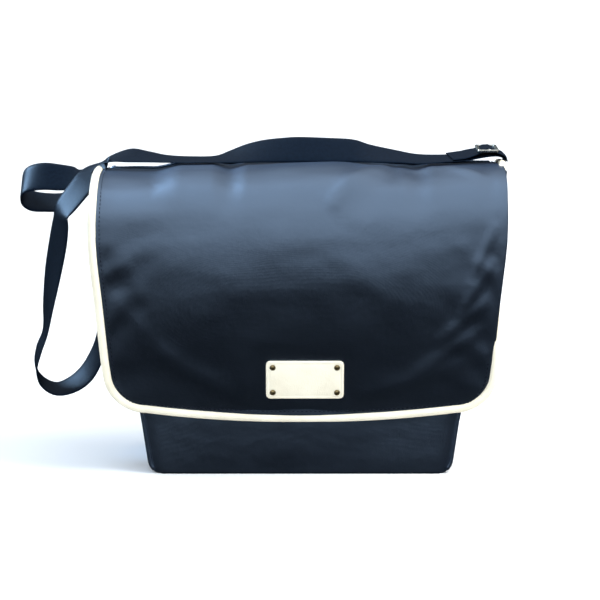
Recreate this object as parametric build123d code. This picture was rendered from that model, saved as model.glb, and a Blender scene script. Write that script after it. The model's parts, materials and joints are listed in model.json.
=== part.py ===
from build123d import *
import math
import os

# Nylon flap-over baby bag. Millimetres. Origin: centre of the base, on the surface it stands on.
# +X is the wearer's right of the front, the front faces -Y, +Z is up.

# ---- driving dimensions ---------------------------------------------------------------------
BASE_HALF_WIDTH = 152.0        # half the body's width at the bottom
SIDE_FLARE = 0.147             # how far each side leans out per mm of height
BODY_HALF_DEPTH = 60.0         # base and body, front to back, halved
FRONT_TOP = 250.0              # top edge of the front panel
BACK_TOP = 296.0               # top edge of the back panel
CLOTH = 2.0                    # padded outer panels
LINING = 1.0
GAP = 0.3                      # clearance between separate layers
BOTTOM_CORNER_R = 12.0

HINGE_Y = 59.0                 # line where the flap leaves the back panel
HINGE_Z = 300.0
ROLL_Y = -4.0                  # centre of the flap's front roll
ROLL_Z = 243.0
ROLL_R = 62.0                  # to the middle of the flap's outer layer
FOLD_ANGLE = 135.0             # place on the roll where the flap bends open, from +Y
CREST_ANGLE = math.degrees(
    math.atan2(HINGE_Z - ROLL_Z, HINGE_Y - ROLL_Y)
    + math.acos(ROLL_R / math.hypot(HINGE_Z - ROLL_Z, HINGE_Y - ROLL_Y))
)                              # where the straight run from the hinge meets the roll
FOLD_HALF_GAP = 4.6            # degrees left open on each side of the bend
PIPING_FOLD_GAP = 5.5          # further degrees left open in the piping
FLAP_OUT = 1.2                 # outer layer, from its middle surface
FLAP_IN = -1.0
FLAP_LINING_OUT = -1.3
FLAP_LINING_IN = -2.3
FLAP_HALF_WIDTH = 206.0
FLAP_LOW_HALF_WIDTH = 187.0    # where the straight sides meet the bottom edge
FLAP_SIDE_Z = 60.0             # bottom edge at the corners
FLAP_BOTTOM = 55.0             # bottom edge in the middle
FLAP_CORNER_R = 33.0
PIPING_R = 4.2
PIPING_GAP = 1.0

PLATE_X = 4.5
PLATE_Z = 99.0
PLATE_W = 78.0
PLATE_H = 40.0
PLATE_T = 2.6
PLATE_CORNER_R = 4.0
RIVET_R = 2.5
RIVET_INSET = 7.0

SNAP_X = 95.0
SNAP_Z = 125.0
SNAP_R = 9.0

WEBBING_W = 32.0
WEBBING_T = 2.0
STRAP_Y = 35.0                 # middle of the webbing where it lies across the top

RING_WIRE_R = 1.8
RING_IN_W = 34.0
RING_IN_H = 10.0
RING_BAR_X = 199.0             # lower bar of each side ring
RING_BAR_Z = 277.0
RING_TILT = 40.0               # degrees outwards from upright

OUT_DIR = "parts"


# ---- helpers ----------------------------------------------------------------------------------
def half_width(z):
    """Outer half width of the body at height z."""
    return BASE_HALF_WIDTH + SIDE_FLARE * z


def box(x0, x1, y0, y1, z0, z1):
    """Box between two opposite corners."""
    centre = Pos((x0 + x1) / 2, (y0 + y1) / 2, (z0 + z1) / 2)
    return centre * Box(abs(x1 - x0), abs(y1 - y0), abs(z1 - z0))


def along_y(points, y0, y1):
    """Prism of an XZ polygon between two values of y."""
    face = Plane.XZ.offset(-y1) * make_face(Polyline(*points, close=True))
    return extrude(face, amount=y1 - y0)


def along_x(points, x0, x1):
    """Prism of a YZ polygon between two values of x."""
    face = Plane.YZ.offset(x0) * make_face(Polyline(*points, close=True))
    return extrude(face, amount=x1 - x0)


def trapezoid(inset, z0, z1):
    """Outline of the flared body in the XZ plane."""
    return [
        (-half_width(z0) + inset, z0),
        (half_width(z0) - inset, z0),
        (half_width(z1) - inset, z1),
        (-half_width(z1) + inset, z1),
    ]


def below_rim(drop, y_reach=200.0):
    """Everything under the sloping top edge, lowered by drop."""
    slope = (BACK_TOP - FRONT_TOP) / (2 * BODY_HALF_DEPTH)
    front = FRONT_TOP - drop - slope * (y_reach - BODY_HALF_DEPTH)
    back = BACK_TOP - drop + slope * (y_reach - BODY_HALF_DEPTH)
    points = [(-y_reach, -1), (y_reach, -1), (y_reach, back), (-y_reach, front)]
    return along_x(points, -300, 300)


def roll_point(radius, degrees):
    """Point on the flap's front roll, in YZ."""
    a = math.radians(degrees)
    return (ROLL_Y + radius * math.cos(a), ROLL_Z + radius * math.sin(a))


# ---- body ---------------------------------------------------------------------------------------
def wall_panel(y0, y1, top):
    """Front or back panel with rounded bottom corners."""
    panel = along_y(trapezoid(0, 0, top), y0, y1)
    low = [e for e in panel.edges().filter_by(Axis.Y) if e.center().Z < 1]
    return fillet(low, BOTTOM_CORNER_R)


def gusset(side):
    """Side panel between the front and back panels."""
    z1 = BACK_TOP + 10
    reach = BODY_HALF_DEPTH - CLOTH - GAP
    z0 = BOTTOM_CORNER_R
    points = [
        (side * (half_width(z0) - CLOTH), z0),
        (side * half_width(z0), z0),
        (side * half_width(z1), z1),
        (side * (half_width(z1) - CLOTH), z1),
    ]
    return along_y(points, -reach, reach) & below_rim(0)


def base_panel():
    """Bottom panel, turned up at both ends to meet the side panels."""
    reach = BODY_HALF_DEPTH - CLOTH - GAP
    outer = wall_panel(-reach, reach, BOTTOM_CORNER_R - GAP)
    inner = along_y(trapezoid(CLOTH, CLOTH, BOTTOM_CORNER_R + 10), -reach - 1, reach + 1)
    low = [e for e in inner.edges().filter_by(Axis.Y) if e.center().Z < CLOTH + 1]
    return outer - fillet(low, BOTTOM_CORNER_R - CLOTH)


BOARD_Z0 = CLOTH + GAP
BOARD_T = 2.5
LINING_Z0 = BOARD_Z0 + BOARD_T + GAP


def base_board():
    """Stiffening board on the bottom panel."""
    half_x = BASE_HALF_WIDTH - BOTTOM_CORNER_R
    reach = BODY_HALF_DEPTH - CLOTH - 3
    return box(-half_x, half_x, -reach, reach, BOARD_Z0, BOARD_Z0 + BOARD_T)


def lining():
    """Inner shell, open at the top."""
    out_y = BODY_HALF_DEPTH - CLOTH - GAP
    inset = CLOTH + GAP + 6
    z1 = BACK_TOP + 10
    outer = along_y(
        [
            (-half_width(LINING_Z0) + inset, LINING_Z0),
            (half_width(LINING_Z0) - inset, LINING_Z0),
            (half_width(z1) - CLOTH - GAP, z1),
            (-half_width(z1) + CLOTH + GAP, z1),
        ],
        -out_y,
        out_y,
    )
    floor = LINING_Z0 + LINING
    inner = along_y(
        [
            (-half_width(floor) + inset + LINING, floor),
            (half_width(floor) - inset - LINING, floor),
            (half_width(z1 + 1) - CLOTH - GAP - LINING, z1 + 1),
            (-half_width(z1 + 1) + CLOTH + GAP + LINING, z1 + 1),
        ],
        -out_y + LINING,
        out_y - LINING,
    )
    return (outer - inner) & below_rim(GAP)


RIM_T = 1.6
RIM_W = 4.6


def rim_binding():
    """Binding that caps the top edge of the front and side panels."""
    z1 = BACK_TOP + 20
    back = BODY_HALF_DEPTH - CLOTH - GAP
    front = -BODY_HALF_DEPTH
    ring = along_y(trapezoid(-0.4, 100, z1), front - 0.4, back)
    hole = along_y(trapezoid(RIM_W, 90, z1 + 1), front + RIM_W, back + 1)
    return (ring - hole) & (below_rim(-GAP - RIM_T) - below_rim(-GAP))


def hinge_seam():
    """Topstitched seam allowance on the back panel's top edge, under the flap's hinge line."""
    half_x = half_width(BACK_TOP) - 1
    return box(-half_x, half_x, HINGE_Y - 0.9, HINGE_Y + 1.4, BACK_TOP + 0.2, BACK_TOP + 1.2)


# ---- pockets --------------------------------------------------------------------------------------
def open_pocket(x0, x1, y0, y1, z0, z1, wall=1.0):
    """Flat pocket, closed but for its top."""
    cavity = box(x0 + wall, x1 - wall, y0 + wall, y1 - wall, z0 + wall, z1 + 1)
    return box(x0, x1, y0, y1, z0, z1) - cavity


INNER_WALL_Y = BODY_HALF_DEPTH - CLOTH - GAP - LINING - GAP
SLIP_DEPTH = 13.0
SLIP_X0 = 8.0
SLIP_X1 = 132.0
SLIP_Z0 = 40.0
SLIP_Z1 = 165.0
BACK_POCKET_HALF = 130.0
BACK_POCKET_Z0 = 40.0
BACK_POCKET_Z1 = 215.0
BACK_POCKET_DEPTH = 8.0
ELASTIC_H = 12.0
ELASTIC_T = 1.2


def slip_pocket(side):
    """Bottle pocket on the inside of the front panel."""
    x0, x1 = sorted((side * SLIP_X0, side * SLIP_X1))
    return open_pocket(x0, x1, -INNER_WALL_Y, -INNER_WALL_Y + SLIP_DEPTH, SLIP_Z0, SLIP_Z1)


def slip_elastic(side):
    """Elastic along a bottle pocket's mouth."""
    x0, x1 = sorted((side * SLIP_X0, side * SLIP_X1))
    y0 = -INNER_WALL_Y + SLIP_DEPTH + 0.1
    return box(x0, x1, y0, y0 + ELASTIC_T, SLIP_Z1 - ELASTIC_H, SLIP_Z1)


def back_pocket():
    """Flat outer pocket on the back panel."""
    y0 = BODY_HALF_DEPTH + 0.1
    return open_pocket(
        -BACK_POCKET_HALF, BACK_POCKET_HALF, y0, y0 + BACK_POCKET_DEPTH, BACK_POCKET_Z0, BACK_POCKET_Z1
    )


def back_pocket_binding():
    """Binding along the back pocket's mouth."""
    y0 = BODY_HALF_DEPTH + BACK_POCKET_DEPTH + 0.2
    half_x = BACK_POCKET_HALF
    return box(-half_x, half_x, y0, y0 + 1, BACK_POCKET_Z1 - 9, BACK_POCKET_Z1)


# ---- inner zip ------------------------------------------------------------------------------------
ZIP_Z = 215.0
ZIP_HALF = 85.0
ZIP_TAPE_H = 26.0
ZIP_TAPE_T = 0.8
ZIP_TEETH_H = 5.0
ZIP_TEETH_T = 1.6
ZIP_PANEL_H = 120.0
SLIDER_L = 11.0
SLIDER_H = 9.0
PULL_L = 30.0
PULL_W = 6.0
ZIP_PARK_X = -ZIP_HALF + 12
ZIP_PULL_PIN_R = 1.0


def zip_front_y():
    """Room-side face of the zip tape."""
    return INNER_WALL_Y - 1.2 - ZIP_TAPE_T


def zip_pocket():
    """Hanging bag of the zipped pocket, flat against the back lining."""
    return box(-ZIP_HALF - 6, ZIP_HALF + 6, INNER_WALL_Y - 1, INNER_WALL_Y, ZIP_Z - ZIP_PANEL_H, ZIP_Z + 15)


def zip_tape():
    """Woven tape of the zip."""
    y1 = INNER_WALL_Y - 1.1
    return box(-ZIP_HALF, ZIP_HALF, y1 - ZIP_TAPE_T, y1, ZIP_Z - ZIP_TAPE_H / 2, ZIP_Z + ZIP_TAPE_H / 2)


def zip_teeth():
    """Closed coil of the zip."""
    y1 = zip_front_y()
    length = ZIP_HALF - 4
    return box(-length, length, y1 - ZIP_TEETH_T, y1, ZIP_Z - ZIP_TEETH_H / 2, ZIP_Z + ZIP_TEETH_H / 2)


def zip_stops():
    """End stops of the coil."""
    y1 = zip_front_y()
    stops = []
    for x in (-ZIP_HALF + 2, ZIP_HALF - 2):
        stops.append(box(x - 1.5, x + 1.5, y1 - ZIP_TEETH_T, y1, ZIP_Z - 4, ZIP_Z + 4))
    return Compound(children=stops)


def zip_slider():
    """Slider that straddles the coil, with the post that holds its pull."""
    y1 = zip_front_y() - GAP
    y0 = y1 - ZIP_TEETH_T - 2.4
    body = box(
        ZIP_PARK_X - SLIDER_L / 2, ZIP_PARK_X + SLIDER_L / 2, y0, y1, ZIP_Z - SLIDER_H / 2, ZIP_Z + SLIDER_H / 2
    )
    body = fillet(body.edges().filter_by(Axis.Y), 2.0)
    slot = box(
        ZIP_PARK_X - SLIDER_L, ZIP_PARK_X + SLIDER_L,
        y1 - ZIP_TEETH_T, y1 + 1, ZIP_Z - ZIP_TEETH_H / 2 - GAP, ZIP_Z + ZIP_TEETH_H / 2 + GAP,
    )
    lug_parts = []
    for x in (ZIP_PARK_X - 2.6, ZIP_PARK_X + 2.6):
        lug_parts.append(box(x - 0.7, x + 0.7, y0 - 4.0, y0 + 0.5, ZIP_Z - 2, ZIP_Z + 2))
    pin = Pos(ZIP_PARK_X, y0 - 2.6, ZIP_Z) * Rot(0, 90, 0) * Cylinder(ZIP_PULL_PIN_R, 6.4)
    return body - slot + lug_parts + pin


def zip_pin_y():
    """Axis of the pull's pin."""
    return zip_front_y() - GAP - ZIP_TEETH_T - 2.4 - 2.6


def zip_pull():
    """Pull tab that hangs from the slider's pin."""
    y = zip_pin_y()
    eye = Pos(ZIP_PARK_X, y, ZIP_Z) * Rot(0, 90, 0) * Cylinder(2.3, 3.2)
    blade = box(ZIP_PARK_X - 1.6, ZIP_PARK_X + 1.6, y - 0.8, y + 0.8, ZIP_Z - 8, ZIP_Z)
    tab = box(ZIP_PARK_X - PULL_W / 2, ZIP_PARK_X + PULL_W / 2, y - 0.8, y + 0.8, ZIP_Z - PULL_L, ZIP_Z - 7)
    tab = fillet(tab.edges().filter_by(Axis.Y), 2.0)
    bore = Pos(ZIP_PARK_X, y, ZIP_Z) * Rot(0, 90, 0) * Cylinder(ZIP_PULL_PIN_R + 0.08, 10)
    return eye + blade + tab - bore


# ---- flap -----------------------------------------------------------------------------------------
def hinge_point(offset, back_off=1.0):
    """Point beside the hinge line, on the flap's straight run, in YZ."""
    a = math.radians(CREST_ANGLE)
    y = HINGE_Y - back_off * math.sin(a) + offset * math.cos(a)
    z = HINGE_Z + back_off * math.cos(a) + offset * math.sin(a)
    return (y, z)


def flap_top_layer(outer, inner):
    """Layer of the flap from its hinge line to the bend, between two offsets."""
    a0 = CREST_ANGLE
    a1 = FOLD_ANGLE - FOLD_HALF_GAP
    am = (a0 + a1) / 2
    profile = make_face(
        [
            Line(hinge_point(outer), roll_point(ROLL_R + outer, a0)),
            ThreePointArc(
                roll_point(ROLL_R + outer, a0), roll_point(ROLL_R + outer, am), roll_point(ROLL_R + outer, a1)
            ),
            Line(roll_point(ROLL_R + outer, a1), roll_point(ROLL_R + inner, a1)),
            ThreePointArc(
                roll_point(ROLL_R + inner, a1), roll_point(ROLL_R + inner, am), roll_point(ROLL_R + inner, a0)
            ),
            Line(roll_point(ROLL_R + inner, a0), hinge_point(inner)),
            Line(hinge_point(inner), hinge_point(outer)),
        ]
    )
    width = FLAP_HALF_WIDTH - PIPING_R - PIPING_GAP
    return extrude(Plane.YZ * profile, amount=width, both=True)


def flap_outline(inset):
    """Front view of the flap: flared sides, large lower corners, a bottom edge that bows down."""
    top = ROLL_Z + ROLL_R + 20
    side_top = FLAP_HALF_WIDTH - inset
    side_low = FLAP_LOW_HALF_WIDTH - inset
    low = FLAP_SIDE_Z + inset
    straight = side_top - 1.0
    face = make_face(
        [
            Line((-side_top, top), (side_top, top)),
            Line((side_top, top), (straight, ROLL_Z)),
            Line((straight, ROLL_Z), (side_low, low)),
            ThreePointArc((side_low, low), (0, FLAP_BOTTOM + inset), (-side_low, low)),
            Line((-side_low, low), (-straight, ROLL_Z)),
            Line((-straight, ROLL_Z), (-side_top, top)),
        ]
    )
    corners = [v for v in face.vertices() if v.Z < low + 5 or v.Y < low + 5]
    return fillet(corners, FLAP_CORNER_R - inset)


def flap_front_layer(outer, inner):
    """Layer of the flap from the bend down the front, between two offsets."""
    a0 = FOLD_ANGLE + FOLD_HALF_GAP
    a1 = 180.0
    am = (a0 + a1) / 2
    front_out = ROLL_Y - ROLL_R - outer
    front_in = ROLL_Y - ROLL_R - inner
    profile = make_face(
        [
            ThreePointArc(
                roll_point(ROLL_R + outer, a0), roll_point(ROLL_R + outer, am), roll_point(ROLL_R + outer, a1)
            ),
            Line((front_out, ROLL_Z), (front_out, 0)),
            Line((front_out, 0), (front_in, 0)),
            Line((front_in, 0), (front_in, ROLL_Z)),
            ThreePointArc(
                roll_point(ROLL_R + inner, a1), roll_point(ROLL_R + inner, am), roll_point(ROLL_R + inner, a0)
            ),
            Line(roll_point(ROLL_R + inner, a0), roll_point(ROLL_R + outer, a0)),
        ]
    )
    sheet = extrude(Plane.YZ * profile, amount=FLAP_HALF_WIDTH + 10, both=True)
    outline = extrude(Plane.XZ * flap_outline(PIPING_R + PIPING_GAP), amount=200, both=True)
    return sheet & outline


def piping_top(side):
    """Round piping on one side edge of the flap's top."""
    x = side * (FLAP_HALF_WIDTH - 0.2)
    a1 = FOLD_ANGLE - FOLD_HALF_GAP
    start = (x, *hinge_point(0, PIPING_R + 1.5))
    crest = (x, *roll_point(ROLL_R, CREST_ANGLE))
    middle = (x, *roll_point(ROLL_R, (CREST_ANGLE + a1) / 2))
    end = (x, *roll_point(ROLL_R, a1 - PIPING_FOLD_GAP))
    path = Wire([Edge.make_line(start, crest), Edge.make_three_point_arc(crest, middle, end)])
    return sweep(Plane(start, z_dir=path.tangent_at(0)) * Circle(PIPING_R), path=path)


def piping_front():
    """Round piping down both sides and along the bottom of the flap's front."""
    y = ROLL_Y - ROLL_R
    outline = Plane.XZ.offset(-y) * flap_outline(0.2)
    edges = [e for e in outline.edges() if e.center().Z < ROLL_Z]
    rail = Wire.combine(edges)[0]
    ends = sorted((rail.position_at(0), rail.position_at(1)), key=lambda p: p.X)
    a0 = FOLD_ANGLE + FOLD_HALF_GAP + PIPING_FOLD_GAP
    solids = []
    start = rail.position_at(0)
    tangent = rail.tangent_at(0)
    tube = sweep(Plane(start, z_dir=tangent) * Circle(PIPING_R), path=rail, transition=Transition.ROUND)
    solids.append(tube)
    for p in ends:
        top = (p.X, *roll_point(ROLL_R, a0))
        middle = (p.X, *roll_point(ROLL_R, (a0 + 180) / 2))
        arc = Edge.make_three_point_arc((p.X, y, ROLL_Z), middle, top)
        solids.append(sweep(Plane((p.X, y, ROLL_Z), z_dir=(0, 0, 1)) * Circle(PIPING_R), path=arc))
    return solids[0] + solids[1:]


FLAP_FACE_Y = ROLL_Y - ROLL_R - FLAP_OUT


def name_plate():
    """Blank leather plate on the flap."""
    y = FLAP_FACE_Y - 0.1
    face = Plane.XZ.offset(-y) * Pos(PLATE_X, PLATE_Z) * RectangleRounded(PLATE_W, PLATE_H, PLATE_CORNER_R)
    return extrude(face, amount=PLATE_T)


def plate_rivets():
    """Four domed rivets at the plate's corners."""
    y = FLAP_FACE_Y - 0.1 - PLATE_T
    rivets = []
    for sx in (-1, 1):
        for sz in (-1, 1):
            x = PLATE_X + sx * (PLATE_W / 2 - RIVET_INSET)
            z = PLATE_Z + sz * (PLATE_H / 2 - RIVET_INSET)
            head = extrude(Plane.XZ.offset(-y + 0.05) * Pos(x, z) * Circle(RIVET_R), amount=1.1)
            rivets.append(fillet(head.edges().sort_by(Axis.Y)[0], 0.8))
    return Compound(children=rivets)


def disc(x, z, y0, y1, r):
    """Disc with its axis along Y."""
    return extrude(Plane.XZ.offset(-y1) * Pos(x, z) * Circle(r), amount=y1 - y0)


def snap_sockets():
    """Magnetic snap sockets on the front panel."""
    y1 = -BODY_HALF_DEPTH - 0.05
    sockets = []
    for side in (-1, 1):
        plate = disc(side * SNAP_X, SNAP_Z, y1 - 1.8, y1, SNAP_R)
        sockets.append(plate - disc(side * SNAP_X, SNAP_Z, y1 - 3, y1 - 1.0, 3.4))
    return Compound(children=sockets)


def snap_studs():
    """Magnetic snap studs on the flap's lining."""
    y0 = ROLL_Y - ROLL_R - FLAP_LINING_IN + 0.05
    studs = []
    for side in (-1, 1):
        plate = disc(side * SNAP_X, SNAP_Z, y0, y0 + 0.9, SNAP_R)
        studs.append(plate + disc(side * SNAP_X, SNAP_Z, y0 + 0.5, y0 + 1.9, 2.8))
    return Compound(children=studs)


# ---- side rings -----------------------------------------------------------------------------------
def side_ring(side):
    """Rectangular wire ring, its lower bar along Y in the tab's fold."""
    long_axis = RING_IN_W + 2 * RING_WIRE_R
    short_axis = RING_IN_H + 2 * RING_WIRE_R
    corner = 2.6
    rail = RectangleRounded(long_axis, short_axis, corner).wires()[0]
    rail = Pos(0, short_axis / 2) * rail
    start = rail.position_at(0.1)
    tangent = rail.tangent_at(0.1)
    flat = sweep(Plane(start, z_dir=tangent) * Circle(RING_WIRE_R), path=rail)
    upright = Plane((0, 0, 0), x_dir=(0, 1, 0), z_dir=(1, 0, 0)) * flat
    tilted = Rot(0, side * RING_TILT, 0) * upright
    return Pos(side * RING_BAR_X, STRAP_Y, RING_BAR_Z) * tilted


def ring_upper_bar(side):
    """Centre of the ring's upper bar in XZ."""
    reach = RING_IN_H + 2 * RING_WIRE_R
    a = math.radians(RING_TILT)
    return (side * (RING_BAR_X + reach * math.sin(a)), RING_BAR_Z + reach * math.cos(a))


TAB_LOW = 232.0
TAB_T = 1.6


def ring_tab(side):
    """Webbing tab sewn to the side panel and folded round the ring's lower bar."""
    r_in = RING_WIRE_R + 0.25
    r_out = r_in + TAB_T
    eye = Cylinder(r_out, WEBBING_W) - Cylinder(r_in, WEBBING_W + 2)
    eye = Pos(side * RING_BAR_X, STRAP_Y, RING_BAR_Z) * Rot(90, 0, 0) * eye
    low_x = half_width(TAB_LOW) + 0.2
    tail = along_y(
        [
            (side * low_x, TAB_LOW),
            (side * (low_x + 2 * TAB_T), TAB_LOW),
            (side * (RING_BAR_X + 1.6), RING_BAR_Z - r_out + 0.6),
            (side * (RING_BAR_X - 1.6), RING_BAR_Z - r_out + 0.6),
        ],
        STRAP_Y - WEBBING_W / 2,
        STRAP_Y + WEBBING_W / 2,
    )
    panel = along_y(
        [
            (0, TAB_LOW - 5),
            (side * (half_width(TAB_LOW - 5) + 0.15), TAB_LOW - 5),
            (side * (half_width(BACK_TOP) + 0.15), BACK_TOP),
            (0, BACK_TOP),
        ],
        -BODY_HALF_DEPTH,
        BODY_HALF_DEPTH,
    )
    bar = Pos(side * RING_BAR_X, STRAP_Y, RING_BAR_Z) * Rot(90, 0, 0) * Cylinder(r_in, WEBBING_W + 2)
    return eye + tail - panel - bar


# ---- strap ----------------------------------------------------------------------------------------
def ribbon(points, y0, y1, thickness=WEBBING_T, shear=0.0, corner=8.0):
    """Webbing whose centre line lies in XZ, extruded across its width and leaned by shear."""
    band = trace(FilletPolyline(*points, radius=corner), line_width=thickness)
    direction = Vector(shear, y0 - y1, 0)
    return extrude(Plane.XZ.offset(-y1) * band, amount=direction.length, dir=direction)


RIGHT_FLAT_Z = 315.0
RIGHT_TURN_X = 214.5
RIGHT_TURN_R = 8.0
SPLIT_X = 118.0
LAYER_STEP = WEBBING_T + 1.2


def strap_top():
    """Webbing across the top: flat at the slider, on edge in the middle, flat again at the left."""
    # x, y and height of the middle, lean of the width out of the horizontal
    stations = [
        (-208.0, STRAP_Y, 313.0, 8.0),
        (-174.0, 27.0, 314.0, 16.0),
        (-140.0, 25.0, 311.5, 8.0),
        (-90.0, 25.0, 311.0, 6.0),
        (-53.0, 24.0, 315.0, 24.0),
        (-18.0, 22.0, 320.0, 46.0),
        (30.0, 22.0, 320.0, 46.0),
        (60.0, 23.0, 318.0, 38.0),
        (90.0, 27.0, 314.0, 18.0),
        (SPLIT_X, 32.0, 313.4, 8.0),
    ]
    sections = []
    for x, y, z, lean in stations:
        a = math.radians(lean)
        plane = Plane((x, y, z), x_dir=(0, math.cos(a), math.sin(a)), z_dir=(1, 0, 0))
        sections.append(plane * Rectangle(WEBBING_W, WEBBING_T))
    return loft(sections, ruled=True)


def strap_lower_run():
    """Webbing under the slider, on to the turn that goes down to the right ring."""
    z = RIGHT_FLAT_Z - LAYER_STEP
    points = [(SPLIT_X + 1, z), (RIGHT_TURN_X - 3.2, z), (RIGHT_TURN_X - 3.2, 303.0)]
    return ribbon(points, STRAP_Y - WEBBING_W / 2, STRAP_Y + WEBBING_W / 2, corner=6.0)


def strap_upper_run():
    """Second layer of webbing, back from the ring to the slider's middle bar."""
    points = [(SPLIT_X + 1, RIGHT_FLAT_Z), (RIGHT_TURN_X, RIGHT_FLAT_Z), (RIGHT_TURN_X, 303.0)]
    return ribbon(points, STRAP_Y - WEBBING_W / 2, STRAP_Y + WEBBING_W / 2, corner=9.0)


def ring_fold(side):
    """Fold of the strap round a ring's upper bar."""
    x, z = ring_upper_bar(side)
    r_in = RING_WIRE_R + 0.25
    r_out = r_in + 1.8
    y0 = STRAP_Y
    eye = Cylinder(r_out, WEBBING_W) - Cylinder(r_in, WEBBING_W + 2)
    eye = Pos(x, y0, z) * Rot(90, 0, 0) * eye
    lower = eye & box(x - 10, x + 10, 0, 80, z - 10, z + 0.2)
    legs = []
    for sx in (-1, 1):
        cx = x + sx * (r_in + 0.9)
        top = z + 8 if sx == side else z + 3
        legs.append(box(cx - 0.9, cx + 0.9, y0 - WEBBING_W / 2, y0 + WEBBING_W / 2, z, top))
    return lower + legs


DROP_Y0 = -12.0
DROP_Y1 = 18.0
LOOP_Y0 = 20.5
LOOP_Y1 = 50.5


def strap_drop():
    """Free webbing that hangs beside the bag in a long U."""
    points = [
        (-217, 314),
        (-238, 288),
        (-250, 262),
        (-254, 230),
        (-260, 190),
        (-266, 140),
        (-275, 108),
        (-268, 78),
        (-246, 72),
        (-224, 88),
        (-211, 118),
        (-206, 150),
        (-203, 200),
    ]
    return ribbon(points, DROP_Y0, DROP_Y1, shear=6.0, corner=12.0)


def strap_loop():
    """Bight of webbing that sticks out to the left below the ring."""
    x, z = ring_upper_bar(-1)
    points = [
        (-206, 205),
        (-208, 240),
        (-216, 262),
        (-252, 258),
        (-281, 261),
        (-289, 277),
        (-278, 296),
        (-262, 303),
        (-226, z + 12),
    ]
    return ribbon(points, LOOP_Y0, LOOP_Y1, corner=9.0)


# ---- strap slider ---------------------------------------------------------------------------------
SLIDER_X = 195.0
SLIDER_FRAME_X = 22.0
SLIDER_FRAME_Y = 41.0
SLIDER_WINDOW_X = 16.0
SLIDER_WINDOW_Y = 35.0
SLIDER_T = 2.4
SLIDER_BAR_R = 1.3


def slider_z():
    """Middle height of the slider, above the upper layer of webbing."""
    return RIGHT_FLAT_Z + WEBBING_T / 2 + GAP + SLIDER_T / 2


def slider_frame():
    """Metal frame of the strap slider."""
    plate = RectangleRounded(SLIDER_FRAME_X, SLIDER_FRAME_Y, 3.0)
    plate -= RectangleRounded(SLIDER_WINDOW_X, SLIDER_WINDOW_Y, 1.5)
    body = extrude(plate, amount=SLIDER_T / 2, both=True)
    body = fillet(body.edges().group_by(Axis.Z)[-1] + body.edges().group_by(Axis.Z)[0], 0.7)
    return Pos(SLIDER_X - 3, STRAP_Y, slider_z()) * body


def slider_bar():
    """Middle bar of the strap slider."""
    bar = Rot(90, 0, 0) * Cylinder(SLIDER_BAR_R, SLIDER_WINDOW_Y - 0.2)
    return Pos(SLIDER_X - 3, STRAP_Y, slider_z()) * bar


# ---- all parts --------------------------------------------------------------------------------------
def make_parts():
    """Every sub-part by its node name."""
    parts = {
        "base_panel": base_panel(),
        "base_board": base_board(),
        "front_panel": wall_panel(-BODY_HALF_DEPTH, -BODY_HALF_DEPTH + CLOTH, FRONT_TOP),
        "back_panel": wall_panel(BODY_HALF_DEPTH - CLOTH, BODY_HALF_DEPTH, BACK_TOP),
        "lining": lining(),
        "rim_binding": rim_binding(),
        "hinge_seam": hinge_seam(),
        "back_pocket": back_pocket(),
        "back_pocket_binding": back_pocket_binding(),
        "zip_pocket": zip_pocket(),
        "zip_tape": zip_tape(),
        "zip_teeth": zip_teeth(),
        "zip_stops": zip_stops(),
        "zip_slider": zip_slider(),
        "zip_pull": zip_pull(),
        "snap_sockets": snap_sockets(),
        "snap_studs": snap_studs(),
        "flap_top_panel": flap_top_layer(FLAP_OUT, FLAP_IN),
        "flap_top_lining": flap_top_layer(FLAP_LINING_OUT, FLAP_LINING_IN),
        "flap_front_panel": flap_front_layer(FLAP_OUT, FLAP_IN),
        "flap_front_lining": flap_front_layer(FLAP_LINING_OUT, FLAP_LINING_IN),
        "flap_piping_front": piping_front(),
        "name_plate": name_plate(),
        "plate_rivets": plate_rivets(),
        "strap_top": strap_top(),
        "strap_lower_run": strap_lower_run(),
        "strap_upper_run": strap_upper_run(),
        "strap_drop": strap_drop(),
        "strap_loop": strap_loop(),
        "slider_frame": slider_frame(),
        "slider_bar": slider_bar(),
    }
    for name, side in (("left", -1), ("right", 1)):
        parts["gusset_" + name] = gusset(side)
        parts["slip_pocket_" + name] = slip_pocket(side)
        parts["slip_elastic_" + name] = slip_elastic(side)
        parts["flap_piping_top_" + name] = piping_top(side)
        parts["ring_tab_" + name] = ring_tab(side)
        parts["side_ring_" + name] = side_ring(side)
        parts["ring_fold_" + name] = ring_fold(side)
    return parts


os.makedirs(OUT_DIR, exist_ok=True)
for node, shape in make_parts().items():
    export_step(shape, os.path.join(OUT_DIR, node + ".step"))
    size = shape.bounding_box().size
    print(f"{node:24s} {size.X:7.1f} {size.Y:7.1f} {size.Z:7.1f}")
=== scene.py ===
import bpy
import json
import math
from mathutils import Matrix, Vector, noise


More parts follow.
